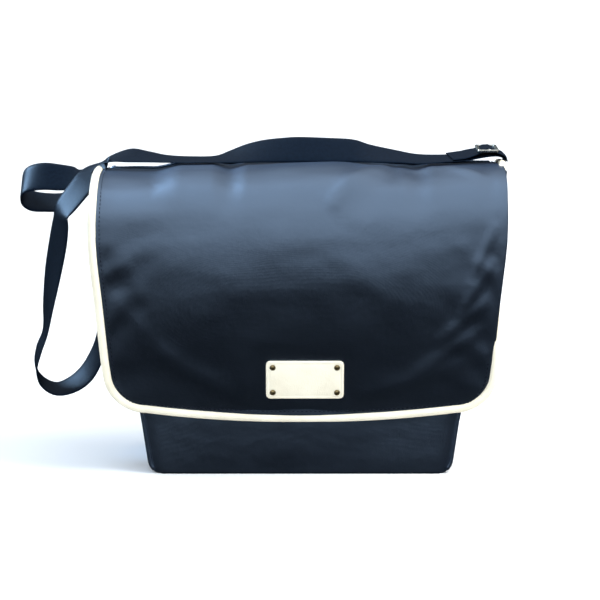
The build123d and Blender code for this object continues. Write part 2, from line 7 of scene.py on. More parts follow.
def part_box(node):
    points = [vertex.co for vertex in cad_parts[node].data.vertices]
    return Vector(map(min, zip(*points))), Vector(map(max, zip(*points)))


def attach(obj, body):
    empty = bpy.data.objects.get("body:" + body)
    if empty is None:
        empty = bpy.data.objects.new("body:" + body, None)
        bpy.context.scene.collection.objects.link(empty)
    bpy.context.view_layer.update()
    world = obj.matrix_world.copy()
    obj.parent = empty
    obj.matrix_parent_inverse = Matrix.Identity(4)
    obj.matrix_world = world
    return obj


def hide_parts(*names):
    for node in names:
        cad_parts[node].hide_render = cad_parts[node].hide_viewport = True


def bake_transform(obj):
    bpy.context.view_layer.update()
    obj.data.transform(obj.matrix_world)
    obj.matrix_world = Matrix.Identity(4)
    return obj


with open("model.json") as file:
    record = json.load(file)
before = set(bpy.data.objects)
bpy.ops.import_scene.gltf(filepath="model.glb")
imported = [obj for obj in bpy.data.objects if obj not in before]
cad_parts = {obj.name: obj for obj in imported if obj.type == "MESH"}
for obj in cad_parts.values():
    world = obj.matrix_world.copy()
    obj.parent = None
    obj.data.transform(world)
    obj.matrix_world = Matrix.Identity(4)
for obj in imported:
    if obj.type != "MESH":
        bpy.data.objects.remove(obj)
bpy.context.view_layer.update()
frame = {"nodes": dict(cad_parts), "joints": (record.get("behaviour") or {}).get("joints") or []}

# ---- places read from the frame ---------------------------------------------------------------
JOINTS = {j["name"]: j for j in frame["joints"]}


def joint_pos(name):
    """Where a joint's axis lies at rest."""
    return Vector(JOINTS[name]["pos_m"])


def low(node):
    return Vector(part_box(node)[0])


def high(node):
    return Vector(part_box(node)[1])


HINGE = joint_pos("flap_lift")
FRONT_Y = low("front_panel").y
BACK_Y = high("back_panel").y
FRONT_TOP = high("front_panel").z
BACK_TOP = high("back_panel").z
BASE_HALF = high("base_panel").x - 0.0017  # its turned-up ends flare out by this much
TOP_HALF = high("back_panel").x
FLARE = (TOP_HALF - BASE_HALF) / BACK_TOP
FLAP_Y = low("flap_front_panel").y
PLATE_LO = low("name_plate")
PLATE_HI = high("name_plate")

# ---- sizes of the soft goods, in metres ----------------------------------------------------------
PIPING_R = 0.0042
FLAP_CORNER_R = 0.034
FLAP_THICK = 0.0022
FLAP_BULGE = 0.0115
FLAP_BOW = 0.0100                        # how far its lower edge hangs down in the middle
PANEL_THICK = 0.0022
WEBBING_W = 0.032
WEBBING_T = 0.0018


# ---- mesh helpers -------------------------------------------------------------------------------
def new_object(name, mesh):
    """Object for a finished mesh, linked to the scene."""
    obj = bpy.data.objects.new(name, mesh)
    bpy.context.scene.collection.objects.link(obj)
    return obj


def finish_mesh(name, verts, faces, uvs=None, flat_last=0):
    """Mesh object from plain lists, with one UV per vertex where given."""
    mesh = bpy.data.meshes.new(name)
    mesh.from_pydata([tuple(v) for v in verts], [], faces)
    if uvs:
        layer = mesh.uv_layers.new(name="UVMap")
        for loop in mesh.loops:
            layer.data[loop.index].uv = uvs[loop.vertex_index]
    mesh.validate()
    rounded = len(mesh.polygons) - flat_last
    for poly in mesh.polygons:
        poly.use_smooth = poly.index < rounded
    mesh.update()
    return new_object(name, mesh)


def grid_normals(grid, closed=False):
    """Unit normal at each point of a grid of vectors; closed rows run on from their end to their start."""
    rows, cols = len(grid), len(grid[0])
    normals = []
    for i in range(rows):
        line = []
        for j in range(cols):
            before, after = (j - 1, (j + 1) % cols) if closed else (max(j - 1, 0), min(j + 1, cols - 1))
            du = grid[i][after] - grid[i][before]
            dv = grid[min(i + 1, rows - 1)][j] - grid[max(i - 1, 0)][j]
            n = du.cross(dv)
            line.append(n.normalized() if n.length > 1e-12 else Vector((0, 0, 1)))
        normals.append(line)
    return normals


def point_grid(rows, cols, spot):
    """Grids of points and of their UVs; spot(t, f) gives both, t from row to row and f along a row."""
    pairs = [[spot(i / rows, j / cols) for j in range(cols + 1)] for i in range(rows + 1)]
    return [[p for p, _ in row] for row in pairs], [[uv for _, uv in row] for row in pairs]


def ring_faces(rings, count, base=0):
    """Quads between neighbouring rings of count points each."""
    faces = []
    for i in range(rings - 1):
        for k in range(count):
            a, b = base + i * count + k, base + i * count + (k + 1) % count
            faces.append((a, b, b + count, a + count))
    return faces


def end_faces(rings, count, base=0):
    """Flat caps on the first and the last ring."""
    last = base + (rings - 1) * count
    return [tuple(base + k for k in range(count))[::-1], tuple(last + k for k in range(count))]


def cloth_sheet(name, grid, thickness, uvs):
    """Closed thin sheet: grid is its outer side, and its inner side lies thickness behind the normals."""
    rows, cols = len(grid), len(grid[0])
    outer = [p for row in grid for p in row]
    normals = [n for row in grid_normals(grid) for n in row]
    verts = outer + [p - n * thickness for p, n in zip(outer, normals)]
    back = len(outer)
    faces = []
    for i in range(rows - 1):
        for j in range(cols - 1):
            a = i * cols + j
            b, c, d = a + 1, a + cols + 1, a + cols
            faces.append((a, b, c, d))
            faces.append((back + d, back + c, back + b, back + a))
    edge = list(range(cols - 1)) + [(i + 1) * cols - 1 for i in range(rows - 1)]
    edge += [(rows - 1) * cols + j for j in range(cols - 1, 0, -1)]
    edge += [i * cols for i in range(rows - 1, 0, -1)]
    for a, b in zip(edge, edge[1:] + edge[:1]):
        faces.append((b, a, back + a, back + b))
    return finish_mesh(name, verts, faces, [uv for row in uvs for uv in row] * 2)


def catmull(points, per_span):
    """Smooth curve through given points of any dimension."""
    pts = [Vector(p) for p in points]
    pts = [pts[0] * 2 - pts[1]] + pts + [pts[-1] * 2 - pts[-2]]
    out = []
    for k in range(1, len(pts) - 2):
        p0, p1, p2, p3 = pts[k - 1 : k + 3]
        for i in range(per_span):
            t = i / per_span
            out.append(
                0.5 * (2 * p1 + (p2 - p0) * t + (2 * p0 - 5 * p1 + 4 * p2 - p3) * t * t
                       + (3 * p1 - p0 - 3 * p2 + p3) * t * t * t)
            )
    out.append(pts[-2].copy())
    return out


def even(points, step):
    """The same line with points about one step apart, as measured over their first three values."""
    lengths = [0.0]
    for a, b in zip(points, points[1:]):
        lengths.append(lengths[-1] + Vector((b - a)[:3]).length)
    count = max(2, round(lengths[-1] / step))
    out = []
    k = 0
    for i in range(count + 1):
        s = lengths[-1] * i / count
        while k < len(points) - 2 and lengths[k + 1] < s:
            k += 1
        span = lengths[k + 1] - lengths[k]
        t = (s - lengths[k]) / span if span > 0 else 0
        out.append(points[k].lerp(points[k + 1], min(max(t, 0), 1)))
    return out


def tube(name, points, radius, sides, squash=(1.0, 1.0)):
    """Tube along a line of points, capped at its ends. squash gives (width, height) factors."""
    n = len(points)
    verts, uvs = [], []
    up = Vector((0, 0, 1))
    tangent = (points[1] - points[0]).normalized()
    if abs(tangent.dot(up)) > 0.9:
        up = Vector((0, 1, 0))
    side = tangent.cross(up).normalized()
    along = 0.0
    for i, p in enumerate(points):
        t = (points[min(i + 1, n - 1)] - points[max(i - 1, 0)]).normalized()
        side = (side - t * side.dot(t)).normalized()
        other = t.cross(side)
        if i:
            along += (p - points[i - 1]).length
        for k in range(sides):
            a = 2 * math.pi * k / sides
            across = side * (math.cos(a) * squash[0]) + other * (math.sin(a) * squash[1])
            verts.append(p + across * radius)
            uvs.append((radius * a, along))
    faces = [(a, d, c, b) for a, b, c, d in ring_faces(n, sides)]
    for i, p in ((0, points[0]), (n - 1, points[-1])):
        centre = len(verts)
        verts.append(p.copy())
        uvs.append((0, 0))
        for k in range(sides):
            a, b = i * sides + k, i * sides + (k + 1) % sides
            faces.append((centre, b, a) if i else (centre, a, b))
    return finish_mesh(name, verts, faces, uvs)


CRISP_END = 0.00008  # a second ring this near a cut end keeps its shading flat
WEBBING_COLS = 13


def webbing_line(route, step=0.004):
    """Evenly spaced (point, direction across) along a given route."""
    line = even(catmull([(*p, *w) for p, w in route], 14), step)
    return [(Vector(v[:3]), Vector(v[3:])) for v in line]


def webbing_mesh(name, spots, first=0, last=None):
    """Webbing with rounded edges along spots from first to last; returns it and its length."""
    last = len(spots) - 1 if last is None else last
    along = sum((b[0] - a[0]).length for a, b in zip(spots[:first], spots[1 : first + 1]))
    frames = []
    for i in range(first, last + 1):
        p, w = spots[i]
        t = (spots[min(i + 1, len(spots) - 1)][0] - spots[max(i - 1, 0)][0]).normalized()
        if i > first:
            along += (p - spots[i - 1][0]).length
        frames.append((p, t, (w - t * w.dot(t)).normalized(), along))
    for place, end, away in ((1, 0, CRISP_END), (-1, -1, -CRISP_END)):
        p, t, w, at = frames[end]
        frames.insert(place, (p + t * away, t, w, at + away))
    verts, uvs = [], []
    for p, t, w, at in frames:
        normal = t.cross(w)
        for face_side in (1, -1):
            for k in range(WEBBING_COLS):
                f = (k / (WEBBING_COLS - 1) * 2 - 1) * face_side
                edge = 1 - abs(f) ** 8 * 0.75
                across = f * WEBBING_W / 2
                verts.append(p + w * across + normal * (face_side * WEBBING_T / 2 * edge))
                uvs.append((across, at))
    shape = (len(frames), WEBBING_COLS * 2)
    mesh = finish_mesh(name, verts, ring_faces(*shape) + end_faces(*shape), uvs, flat_last=2)
    return mesh, frames[-1][3] - frames[0][3]


def ribbon(name, route, step=0.004):
    """Webbing along a route, and its length."""
    return webbing_mesh(name, webbing_line(route, step))


def ramp(a, b, x):
    """Share of the way from a to b, between 0 and 1."""
    return min(max((x - a) / (b - a), 0), 1)


def smoothstep(a, b, x):
    t = ramp(a, b, x)
    return t * t * (3 - 2 * t)


def read_off(table, x, ease):
    """Value at x from a table of (place, value) in rising order, eased from each to the next."""
    for (x0, v0), (x1, v1) in zip(table, table[1:]):
        if x <= x1:
            return v0 + (v1 - v0) * ease(x0, x1, x)
    return table[-1][1]


def round_in(away, radius):
    """How far a rounded corner lies in from a square one, this far away from its end."""
    d = 1 - min(away / radius, 1)
    return radius * (1 - math.sqrt(max(0, 1 - d * d)))


SHOULDER_DROP = 0.0062


def shoulder_drop(x):
    """How far the bag's left top corner droops."""
    return SHOULDER_DROP * (1 - smoothstep(-0.152, -0.118, x))


def folds(p, scale, stretch):
    """Soft creases: noise drawn out along one direction, between -1 and 1."""
    q = Vector((p.x * scale * stretch[0], p.y * scale * stretch[1], p.z * scale * stretch[2]))
    return noise.fractal(q, 1.0, 2.0, 3)


# ---- camera, light and floor ----------------------------------------------------------------------
CAMERA_TILT = math.radians(12)
CAMERA_DISTANCE = 2.2
CAMERA_AIM = Vector((-0.0004, 0, 0.1653))
CAMERA_LENS = 128.4
SENSOR = 36.0
FLOOR_HALF = 30
WORLD_COLOR = (0.84, 0.92, 1.0, 1)
WORLD_GAIN = 1.75
# Along each axis of the sky: where its light starts and stops to rise, and its level at both
WORLD_SPANS = [("Z", 0.02, 0.50, 0.012, 1.0), ("Y", 0.88, 0.30, 0.16, 1.0)]


def make_camera():
    data = bpy.data.cameras.new("camera")
    data.lens = CAMERA_LENS
    data.sensor_width = SENSOR
    data.clip_end = 50
    camera = new_object("camera", data)
    back = Vector((0, -math.cos(CAMERA_TILT), math.sin(CAMERA_TILT)))
    camera.location = CAMERA_AIM + back * CAMERA_DISTANCE
    camera.rotation_euler = (math.pi / 2 - CAMERA_TILT, 0, 0)
    bpy.context.scene.camera = camera


def area_light(name, location, target, width, height, power, color):
    data = bpy.data.lights.new(name, "AREA")
    data.energy = power
    data.color = color
    data.shape = "RECTANGLE"
    data.size = width
    data.size_y = height
    light = new_object(name, data)
    light.location = location
    direction = Vector(target) - Vector(location)
    light.rotation_euler = direction.to_track_quat("-Z", "Y").to_euler()
    return light


def studio_world():
    """Room that is bright overhead and in front, and dim behind and below."""
    world = bpy.data.worlds.new("studio")
    world.use_nodes = True
    tree = world.node_tree
    split = tree.nodes.new("ShaderNodeSeparateXYZ")
    tree.links.new(tree.nodes.new("ShaderNodeTexCoord").outputs["Generated"], split.inputs[0])
    product, gain = tree.nodes.new("ShaderNodeMath"), tree.nodes.new("ShaderNodeMath")
    product.operation = gain.operation = "MULTIPLY"
    for k, (axis, *values) in enumerate(WORLD_SPANS):
        ramp = tree.nodes.new("ShaderNodeMapRange")
        ramp.interpolation_type = "SMOOTHSTEP"
        for socket, value in zip(("From Min", "From Max", "To Min", "To Max"), values):
            ramp.inputs[socket].default_value = value
        tree.links.new(split.outputs[axis], ramp.inputs["Value"])
        tree.links.new(ramp.outputs["Result"], product.inputs[k])
    gain.inputs[1].default_value = WORLD_GAIN
    tree.links.new(product.outputs[0], gain.inputs[0])
    tree.links.new(gain.outputs[0], tree.nodes["Background"].inputs["Strength"])
    tree.nodes["Background"].inputs["Color"].default_value = WORLD_COLOR
    bpy.context.scene.world = world


def make_stage():
    g = Graph("floor_white")
    tone = g.noise(g.coords(), 3, 3)
    g.set(Base_Color=g.ramp(tone, [(0.0, (0.70, 0.70, 0.70)), (1.0, (0.74, 0.74, 0.74))]), Roughness=0.8)
    mesh = bpy.data.meshes.new("floor")
    corners = [(x * FLOOR_HALF, y * FLOOR_HALF, 0) for x, y in ((-1, -1), (1, -1), (1, 1), (-1, 1))]
    mesh.from_pydata(corners, [], [(0, 1, 2, 3)])
    floor = new_object("floor", mesh)
    floor.data.materials.append(g.material)
    floor.visible_glossy = False
    studio_world()
    key = area_light("top_softbox", (0.95, -0.30, 1.5), (0.0, 0.0, 0.15), 0.8, 0.8, 34, (1.0, 0.98, 0.95))
    key.visible_glossy = False
    wash = area_light("floor_wash", (0.0, 6.0, 4.0), (0, 6.0, 0.0), 9.0, 7.0, 300, (1, 1, 1))
    wash.visible_glossy = False
    rim = area_light("rim_left", (-1.55, 0.55, 1.35), (-0.22, 0.0, 0.27), 0.5, 0.5, 165, (0.50, 0.74, 1.0))
    rim.visible_diffuse = False
    bpy.context.scene.view_settings.view_transform = "Standard"


# ---- materials ------------------------------------------------------------------------------------
class Graph:
    """Short way to build a material's nodes."""

    def __init__(self, name):
        self.material = bpy.data.materials.new(name)
        self.material.use_nodes = True
        self.tree = self.material.node_tree
        self.bsdf = self.tree.nodes["Principled BSDF"]

    def feed(self, socket, value):
        """Links another node's output to a socket, or sets the socket's value."""
        if isinstance(value, bpy.types.NodeSocket):
            self.tree.links.new(value, socket)
        else:
            socket.default_value = value

    def node(self, kind, inputs, **settings):
        """New node, with the values or links of its inputs by name or place."""
        made = self.tree.nodes.new(kind)
        for key, value in settings.items():
            setattr(made, key, value)
        for key, value in inputs.items():
            self.feed(made.inputs[key], value)
        return made

    def coords(self, kind="Object"):
        return self.node("ShaderNodeTexCoord", {}).outputs[kind]

    def noise(self, vector, scale, detail=3, rough=0.5):
        inputs = {"Vector": vector, "Scale": scale, "Detail": detail, "Roughness": rough}
        return self.node("ShaderNodeTexNoise", inputs).outputs["Fac"]

    def wave(self, vector, scale, direction="X", distortion=0.0):
        inputs = {"Vector": vector, "Scale": scale, "Distortion": distortion}
        return self.node("ShaderNodeTexWave", inputs, bands_direction=direction).outputs["Fac"]

    def ramp(self, value, stops):
        made = self.node("ShaderNodeValToRGB", {"Fac": value})
        for element, (position, color) in zip(made.color_ramp.elements, stops):
            element.position = position
            element.color = (*color, 1)
        return made.outputs["Color"]

    def span(self, value, lo, hi):
        inputs = {"Value": value, "To Min": lo, "To Max": hi}
        return self.node("ShaderNodeMapRange", inputs).outputs["Result"]

    def add(self, a, b, kind="ADD"):
        return self.node("ShaderNodeMath", {0: a, 1: b}, operation=kind).outputs[0]

    def bump(self, height, distance, strength, normal=None):
        inputs = {"Height": height, "Distance": distance, "Strength": strength}
        if normal:
            inputs["Normal"] = normal
        return self.node("ShaderNodeBump", inputs).outputs["Normal"]

    def set(self, **values):
        for key, value in values.items():
            self.feed(self.bsdf.inputs[key.replace("_", " ")], value)


def nylon(name, dark, light, roughness):
    """Coated nylon twill: fine weave, satin gloss, small creases."""
    g = Graph(name)
    space = g.coords()
    patch = g.noise(space, 9, 4, 0.6)
    g.set(Base_Color=g.ramp(patch, [(0.3, dark), (0.75, light)]))
    weave = g.add(g.wave(space, 900, "X"), g.wave(space, 900, "Z"))
    weave = g.add(weave, g.wave(space, 900, "Y"))
    crease = g.noise(space, 26, 5, 0.55)
    normal = g.bump(weave, 0.00004, 0.5)
    normal = g.bump(crease, 0.0016, 0.5, normal)
    g.set(Normal=normal, Roughness=g.span(g.noise(space, 14, 4), roughness - 0.06, roughness + 0.08))
    g.set(IOR=1.9, Sheen_Weight=0.16, Sheen_Roughness=0.40, Sheen_Tint=(0.42, 0.60, 1.0, 1))
    g.set(Specular_IOR_Level=0.95, Specular_Tint=(0.56, 0.74, 1.0, 1))
    return g.material


def webbing_cloth(name, dark, light):
    """Ribbed webbing: rows across, with a herringbone along; its colour darkens in the grooves of the weave
    as painted shade, over a random tone.
    """
    g = Graph(name)
    uv = g.coords("UV")
    rows = g.wave(uv, 320, "Y", 0.6)
    ribs = g.wave(uv, 210, "X", 0.4)
    height = g.add(rows, ribs)
    # partly random tone, partly painted shade: the colour follows the weave's height, darkest in its
    # grooves, times a random noise
    tone_and_groove_shade = g.add(height, g.noise(uv, 300, 2), "MULTIPLY")
    g.set(Base_Color=g.ramp(g.span(tone_and_groove_shade, 0, 0.8), [(0.1, dark), (0.9, light)]))
    g.set(Normal=g.bump(height, 0.00020, 0.25), Roughness=0.46)
    g.set(IOR=1.3, Specular_IOR_Level=0.20, Specular_Tint=(0.40, 0.66, 1.0, 1))
    return g.material


def leather(name, dark, light):
    """Smooth cream leather with a fine pebble and faint soiling."""
    g = Graph(name)
    space = g.coords()
    cells = g.node("ShaderNodeTexVoronoi", {"Vector": space, "Scale": 900}, feature="SMOOTH_F1")
    tone = g.noise(space, 35, 5, 0.6)
    g.set(Base_Color=g.ramp(tone, [(0.3, dark), (0.62, light)]))
    normal = g.bump(cells.outputs["Distance"], 0.00018, 0.45)
    normal = g.bump(g.noise(space, 160, 4), 0.0003, 0.35, normal)
    g.set(Normal=normal, Roughness=g.span(g.noise(space, 60, 3), 0.38, 0.55), Coat_Weight=0.08)
    return g.material


def metal(name, color, roughness):
    """Plated metal with handling marks."""
    g = Graph(name)
    space = g.coords()
    marks = g.noise(space, 420, 6, 0.65)
    g.set(Base_Color=g.ramp(marks, [(0.35, tuple(c * 0.7 for c in color)), (0.6, color)]))
    g.set(Metallic=1.0, Roughness=g.span(marks, roughness - 0.05, roughness + 0.15))
    g.set(Normal=g.bump(g.noise(space, 900, 3), 0.00006, 0.4))
    return g.material


def lining_cloth(name, dark, light):
    """Matt woven lining with fine cross threads; its colour is lighter on the raised threads than between
    them as painted shade, over a random tone.
    """
    g = Graph(name)
    space = g.coords()
    weave = g.add(g.wave(space, 500, "X", 0.5), g.wave(space, 500, "Z", 0.5))
    # partly random tone, partly painted shade: the weave's height lifts the colour on the raised threads
    # and leaves it darker between them
    tone = g.add(g.noise(space, 30, 4), g.span(weave, 0, 0.2))
    g.set(Base_Color=g.ramp(tone, [(0.35, dark), (0.85, light)]))
    g.set(Normal=g.bump(weave, 0.0001, 0.6), Roughness=0.8, Sheen_Weight=0.3)
    return g.material


def thread(name, color):
    """Twisted sewing thread, with painted shade: its colour darkens in the grooves between its plies."""
    g = Graph(name)
    space = g.coords()
    twist_and_groove_shade = g.wave(space, 1500, "DIAGONAL", 1.0)
    # painted shade: the colour darkens to 0.55 in the grooves, where the bump sinks
    g.set(Base_Color=g.ramp(twist_and_groove_shade, [(0.0, tuple(c * 0.55 for c in color)), (0.8, color)]))
    g.set(Normal=g.bump(twist_and_groove_shade, 0.0001, 0.4), Roughness=0.75, Specular_IOR_Level=0.2)
    return g.material


def plastic(name, color, roughness):
    """Moulded plastic with a fine texture; its colour darkens in the texture's pits as painted shade."""
    g = Graph(name)
    space = g.coords()
    grain_and_pit_shade = g.noise(space, 700, 4, 0.6)
    # painted shade: the colour darkens to 0.75 where the bump sinks
    g.set(Base_Color=g.ramp(grain_and_pit_shade, [(0.3, tuple(c * 0.75 for c in color)), (0.7, color)]))
    g.set(Normal=g.bump(grain_and_pit_shade, 0.0001, 0.5), Roughness=roughness)
    return g.material


NYLON = nylon("nylon_navy", (0.0010, 0.0015, 0.0034), (0.0020, 0.0028, 0.0062), 0.34)
WEBBING = webbing_cloth("webbing_navy", (0.0012, 0.0027, 0.0062), (0.0044, 0.0092, 0.0200))
LEATHER = leather("cream_leather", (0.78, 0.71, 0.55), (0.86, 0.80, 0.64))
BRASS = metal("antique_brass", (0.36, 0.27, 0.13), 0.34)
NICKEL = metal("pale_nickel", (0.80, 0.76, 0.66), 0.22)
LINING = lining_cloth("lining_cloth", (0.42, 0.38, 0.28), (0.66, 0.61, 0.48))
NAVY_THREAD = thread("navy_thread", (0.008, 0.013, 0.028))
CREAM_THREAD = thread("cream_thread", (0.82, 0.78, 0.66))
COIL = plastic("zip_coil", (0.018, 0.026, 0.055), 0.42)
BOARD = plastic("stiffener", (0.12, 0.12, 0.12), 0.6)


def fit_out(obj, material, body, *nodes):
    """Gives a piece its material and slot, the nodes that it replaces, and the body that it rides."""
    obj.data.materials.clear()
    obj.data.materials.append(material)
    if nodes:
        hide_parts(*nodes)
    if body:
        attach(obj, body)


# ---- flap ----------------------------------------------------------------------------------------
FLAP_PROFILE = [
    (HINGE.y, HINGE.z),
    (0.036, 0.3028),
    (0.008, 0.3045),
    (-0.020, 0.3020),
    (-0.0425, 0.2905),
    (-0.0560, 0.2700),
    (-0.0632, 0.2430),
    (-0.0670, 0.2100),
    (-0.0688, 0.1700),
    (-0.0690, 0.1300),
    (-0.0678, 0.0900),
    (-0.0664, 0.0672),
]
FLAP_COLS = 240
FLAP_STEP = 0.0016


def flap_rows():
    """Even points down the middle of the flap, and how far along each is."""
    line = even(catmull([(0, y, z) for y, z in FLAP_PROFILE], 24), FLAP_STEP)
    along = [0.0]
    for a, b in zip(line, line[1:]):
        along.append(along[-1] + (b - a).length)
    return line, along


FLAP_LINE, FLAP_ALONG = flap_rows()
FLAP_LENGTH = FLAP_ALONG[-1]
SIDE_STRAIGHT = FLAP_LENGTH - FLAP_CORNER_R


def flap_middle(s):
    """Point on the flap's middle line at distance s from the hinge."""
    x = min(max(s / FLAP_LENGTH * (len(FLAP_LINE) - 1), 0), len(FLAP_LINE) - 1.000001)
    k = int(x)
    return FLAP_LINE[k].lerp(FLAP_LINE[k + 1], x - k)


# Half width of the flap to the middle of its piping, by the distance left to its lower edge
FLAP_WIDTHS = [
    (0.0, 0.1900), (0.036, 0.1942), (0.050, 0.1960), (0.070, 0.1978), (0.090, 0.1996), (0.110, 0.2014),
    (0.130, 0.2036), (0.150, 0.2058), (0.170, 0.2072), (0.190, 0.2073), (0.215, 0.2066), (0.350, 0.2058),
]


def flap_half_at(s):
    """Half width of the flap at distance s, rounded off at its lower corners."""
    left = FLAP_LENGTH - s
    return read_off(FLAP_WIDTHS, left, ramp) - round_in(left, FLAP_CORNER_R)


# Height of the flap's crest above its profile, at places across: it dips where the strap presses
CREST_SHAPE = [
    (-0.215, 0.0), (-0.090, 0.0), (-0.072, -0.0045), (-0.052, 0.0), (0.0, 0.0010), (0.045, 0.0022),
    (0.080, 0.0), (0.100, -0.0020), (0.117, -0.0045), (0.136, -0.0005), (0.170, 0.0004), (0.215, 0.0),
]


def crest_lift(x, s):
    """Raises or drops the top of the flap, fading towards the hinge and down the front."""
    lift = read_off(CREST_SHAPE, x, smoothstep)
    return (lift * smoothstep(0.004, 0.040, s) - shoulder_drop(x)) * (1 - smoothstep(0.085, 0.150, s))


def flap_point(s, u, outward=0.0):
    """Point on the flap: s from the hinge, u from -1 to 1 across, raised by outward."""
    drop = s / FLAP_LENGTH
    bow = FLAP_BOW * (1 - u * u) * smoothstep(0.7, 1.0, drop)
    middle = flap_middle(s)
    before, after = flap_middle(s - 0.002), flap_middle(s + 0.002)
    tangent = (after - before).normalized()
    normal = Vector((0, tangent.z, -tangent.y))
    x = u * flap_half_at(s)
    bulge = FLAP_BULGE * (1 - abs(u) ** 2.6) * math.sin(math.pi * smoothstep(0.18, 1.06, drop)) ** 1.1
    point = middle + Vector((x, 0, 0)) + normal * (outward + bulge) + tangent * bow
    point.z += crest_lift(x, s)
    return point


def plate_distance(p):
    """How far a point of the flap's front lies outside the leather plate."""
    if p.y > FLAP_Y + 0.03:
        return 1.0
    dx = max(PLATE_LO.x - p.x, p.x - PLATE_HI.x, 0)
    dz = max(PLATE_LO.z - p.z, p.z - PLATE_HI.z, 0)
    return math.hypot(dx, dz)


# Creases of the flap that the photograph shows: ends as (x, distance from the hinge), half width, height
CREASES = [
    (-0.088, 0.062, -0.140, 0.122, 0.026, 0.0010),
    (-0.150, 0.095, -0.118, 0.135, 0.020, -0.0005),
    (0.082, 0.060, 0.034, 0.124, 0.010, 0.0033),
    (0.100, 0.070, 0.062, 0.128, 0.011, -0.0016),
    (0.105, 0.062, 0.150, 0.066, 0.009, 0.0022),
    (0.150, 0.066, 0.182, 0.090, 0.008, 0.0024),
    (0.186, 0.066, 0.190, 0.120, 0.009, -0.0014),
    (-0.050, 0.075, -0.010, 0.100, 0.018, -0.0008),
    (0.110, 0.085, 0.140, 0.125, 0.012, 0.0012),
    (-0.185, 0.118, -0.115, 0.118, 0.034, 0.0016),
    (0.192, 0.150, 0.170, 0.205, 0.006, 0.0014),
    (0.190, 0.185, 0.160, 0.235, 0.006, 0.0014),
    (0.184, 0.225, 0.140, 0.262, 0.007, 0.0014),
    (0.176, 0.255, 0.120, 0.290, 0.008, 0.0014),
    (0.160, 0.285, 0.060, 0.315, 0.009, 0.0012),
    (-0.186, 0.170, -0.150, 0.230, 0.010, 0.0006),
    (-0.182, 0.225, -0.120, 0.290, 0.010, 0.0008),
    (-0.150, 0.270, -0.060, 0.318, 0.010, 0.0013),
    (0.040, 0.180, 0.100, 0.230, 0.014, 0.0009),
]


def crease_height(x, s):
    """Sum of the drawn creases at a place on the flap."""
    total = 0.0
    for x0, s0, x1, s1, width, height in CREASES:
        dx, ds = x1 - x0, s1 - s0
        t = min(max(((x - x0) * dx + (s - s0) * ds) / (dx * dx + ds * ds), 0), 1)
        d2 = (x - x0 - dx * t) ** 2 + (s - s0 - ds * t) ** 2
        if d2 < 9 * width * width:
            total += height * math.exp(-d2 / (width * width)) * (0.55 + 0.45 * math.sin(math.pi * t))
    return total


def flap_wrinkle(p, s, u):
    """Height of the cloth's creases, none at the seams."""
    mask = smoothstep(0, 0.06, 1 - abs(u)) * smoothstep(0, 0.03, FLAP_LENGTH - s) * smoothstep(0, 0.02, s)
    mask *= smoothstep(0.0, 0.022, plate_distance(p))
    broad = folds(p + Vector((3.1, 1.7, 0.4)), 6.0, (1.0, 1.0, 0.8))
    long = folds(p + Vector((0.3, 5.2, 2.6)), 15.0, (0.5, 1.0, 1.0))
    side = smoothstep(0.62, 0.98, abs(u)) * smoothstep(0.35, 0.6, s / FLAP_LENGTH)
    drag = math.sin((p.z * 0.75 + abs(p.x) * 0.65) * 190 + 2.5 * folds(p, 9, (1, 1, 1)))
    return mask * (0.0022 * broad + 0.0010 * long + 0.0006 * side * drag + crease_height(p.x, s))


def flap_stations():
    """Distances down the flap, closer together round the lower corners."""
    straight = [SIDE_STRAIGHT * i / 190 for i in range(190)]
    corner = [SIDE_STRAIGHT + FLAP_CORNER_R * math.sin(math.pi / 2 * i / 40) for i in range(41)]
    return straight + corner


RIGHT_TUCK = 0.0066   # how far the right side's piping is rolled under the cloth
RIGHT_REACH = 0.0024  # how far the cloth stands out past it at the top right corner


def shortened(s, inset):
    """Distance down the flap for a line that stops inset short of its lower edge."""
    return s * (FLAP_LENGTH - inset) / FLAP_LENGTH


def flap_sheet(name, outward, thickness, inset):
    """One layer of the flap as a closed thin sheet."""
    grid, uvs = [], []
    for s in flap_stations():
        row, uv = [], []
        half = flap_half_at(s)
        keep = shortened(s, inset)
        for j in range(FLAP_COLS + 1):
            u = 1 - j / FLAP_COLS * 2
            reach = RIGHT_REACH * smoothstep(0.5, 1, u)
            reach *= smoothstep(0.025, 0.065, s) * (1 - smoothstep(0.085, 0.20, s))
            across = u * ((half - inset + reach) / half)
            p = flap_point(keep, across)
            row.append(flap_point(keep, across, outward + flap_wrinkle(p, s, u)))
            uv.append((u * half, s))
        grid.append(row)
        uvs.append(uv)
    return cloth_sheet(name, grid, thickness, uvs)


def flap_edge(outward, inset=0.0, start=0.0):
    """Line round the flap's sides and bottom, from the hinge at -X to the hinge at +X."""
    stations = [s for s in flap_stations() if s >= start]
    left, right = [], []
    for s in stations:
        half = flap_half_at(s)
        low_s = shortened(s, inset)
        left.append(flap_point(low_s, -(half - inset) / half, outward))
        hidden = RIGHT_TUCK * smoothstep(0.045, 0.080, s)
        hidden *= 1 - smoothstep(FLAP_LENGTH - 0.13, FLAP_LENGTH - 0.035, s)
        right.append(flap_point(low_s, (half - inset - hidden) / half, outward - 1.5 * hidden))
    half = flap_half_at(FLAP_LENGTH)
    reach = (half - inset * 0.2) / half
    bottom = [flap_point(FLAP_LENGTH - inset, (j / 40 - 1) * reach, outward) for j in range(1, 80)]
    return even(left + bottom + right[::-1], 0.0022)


STITCH_SIDES = 6
# Rings of one stitch: how far along it, its thickness as a share, and its height in radii
STITCH_RINGS = ((0.0, 0.25, -0.2), (0.18, 0.9, 0.55), (0.5, 1.0, 0.9), (0.82, 0.9, 0.55), (1.0, 0.25, -0.2))


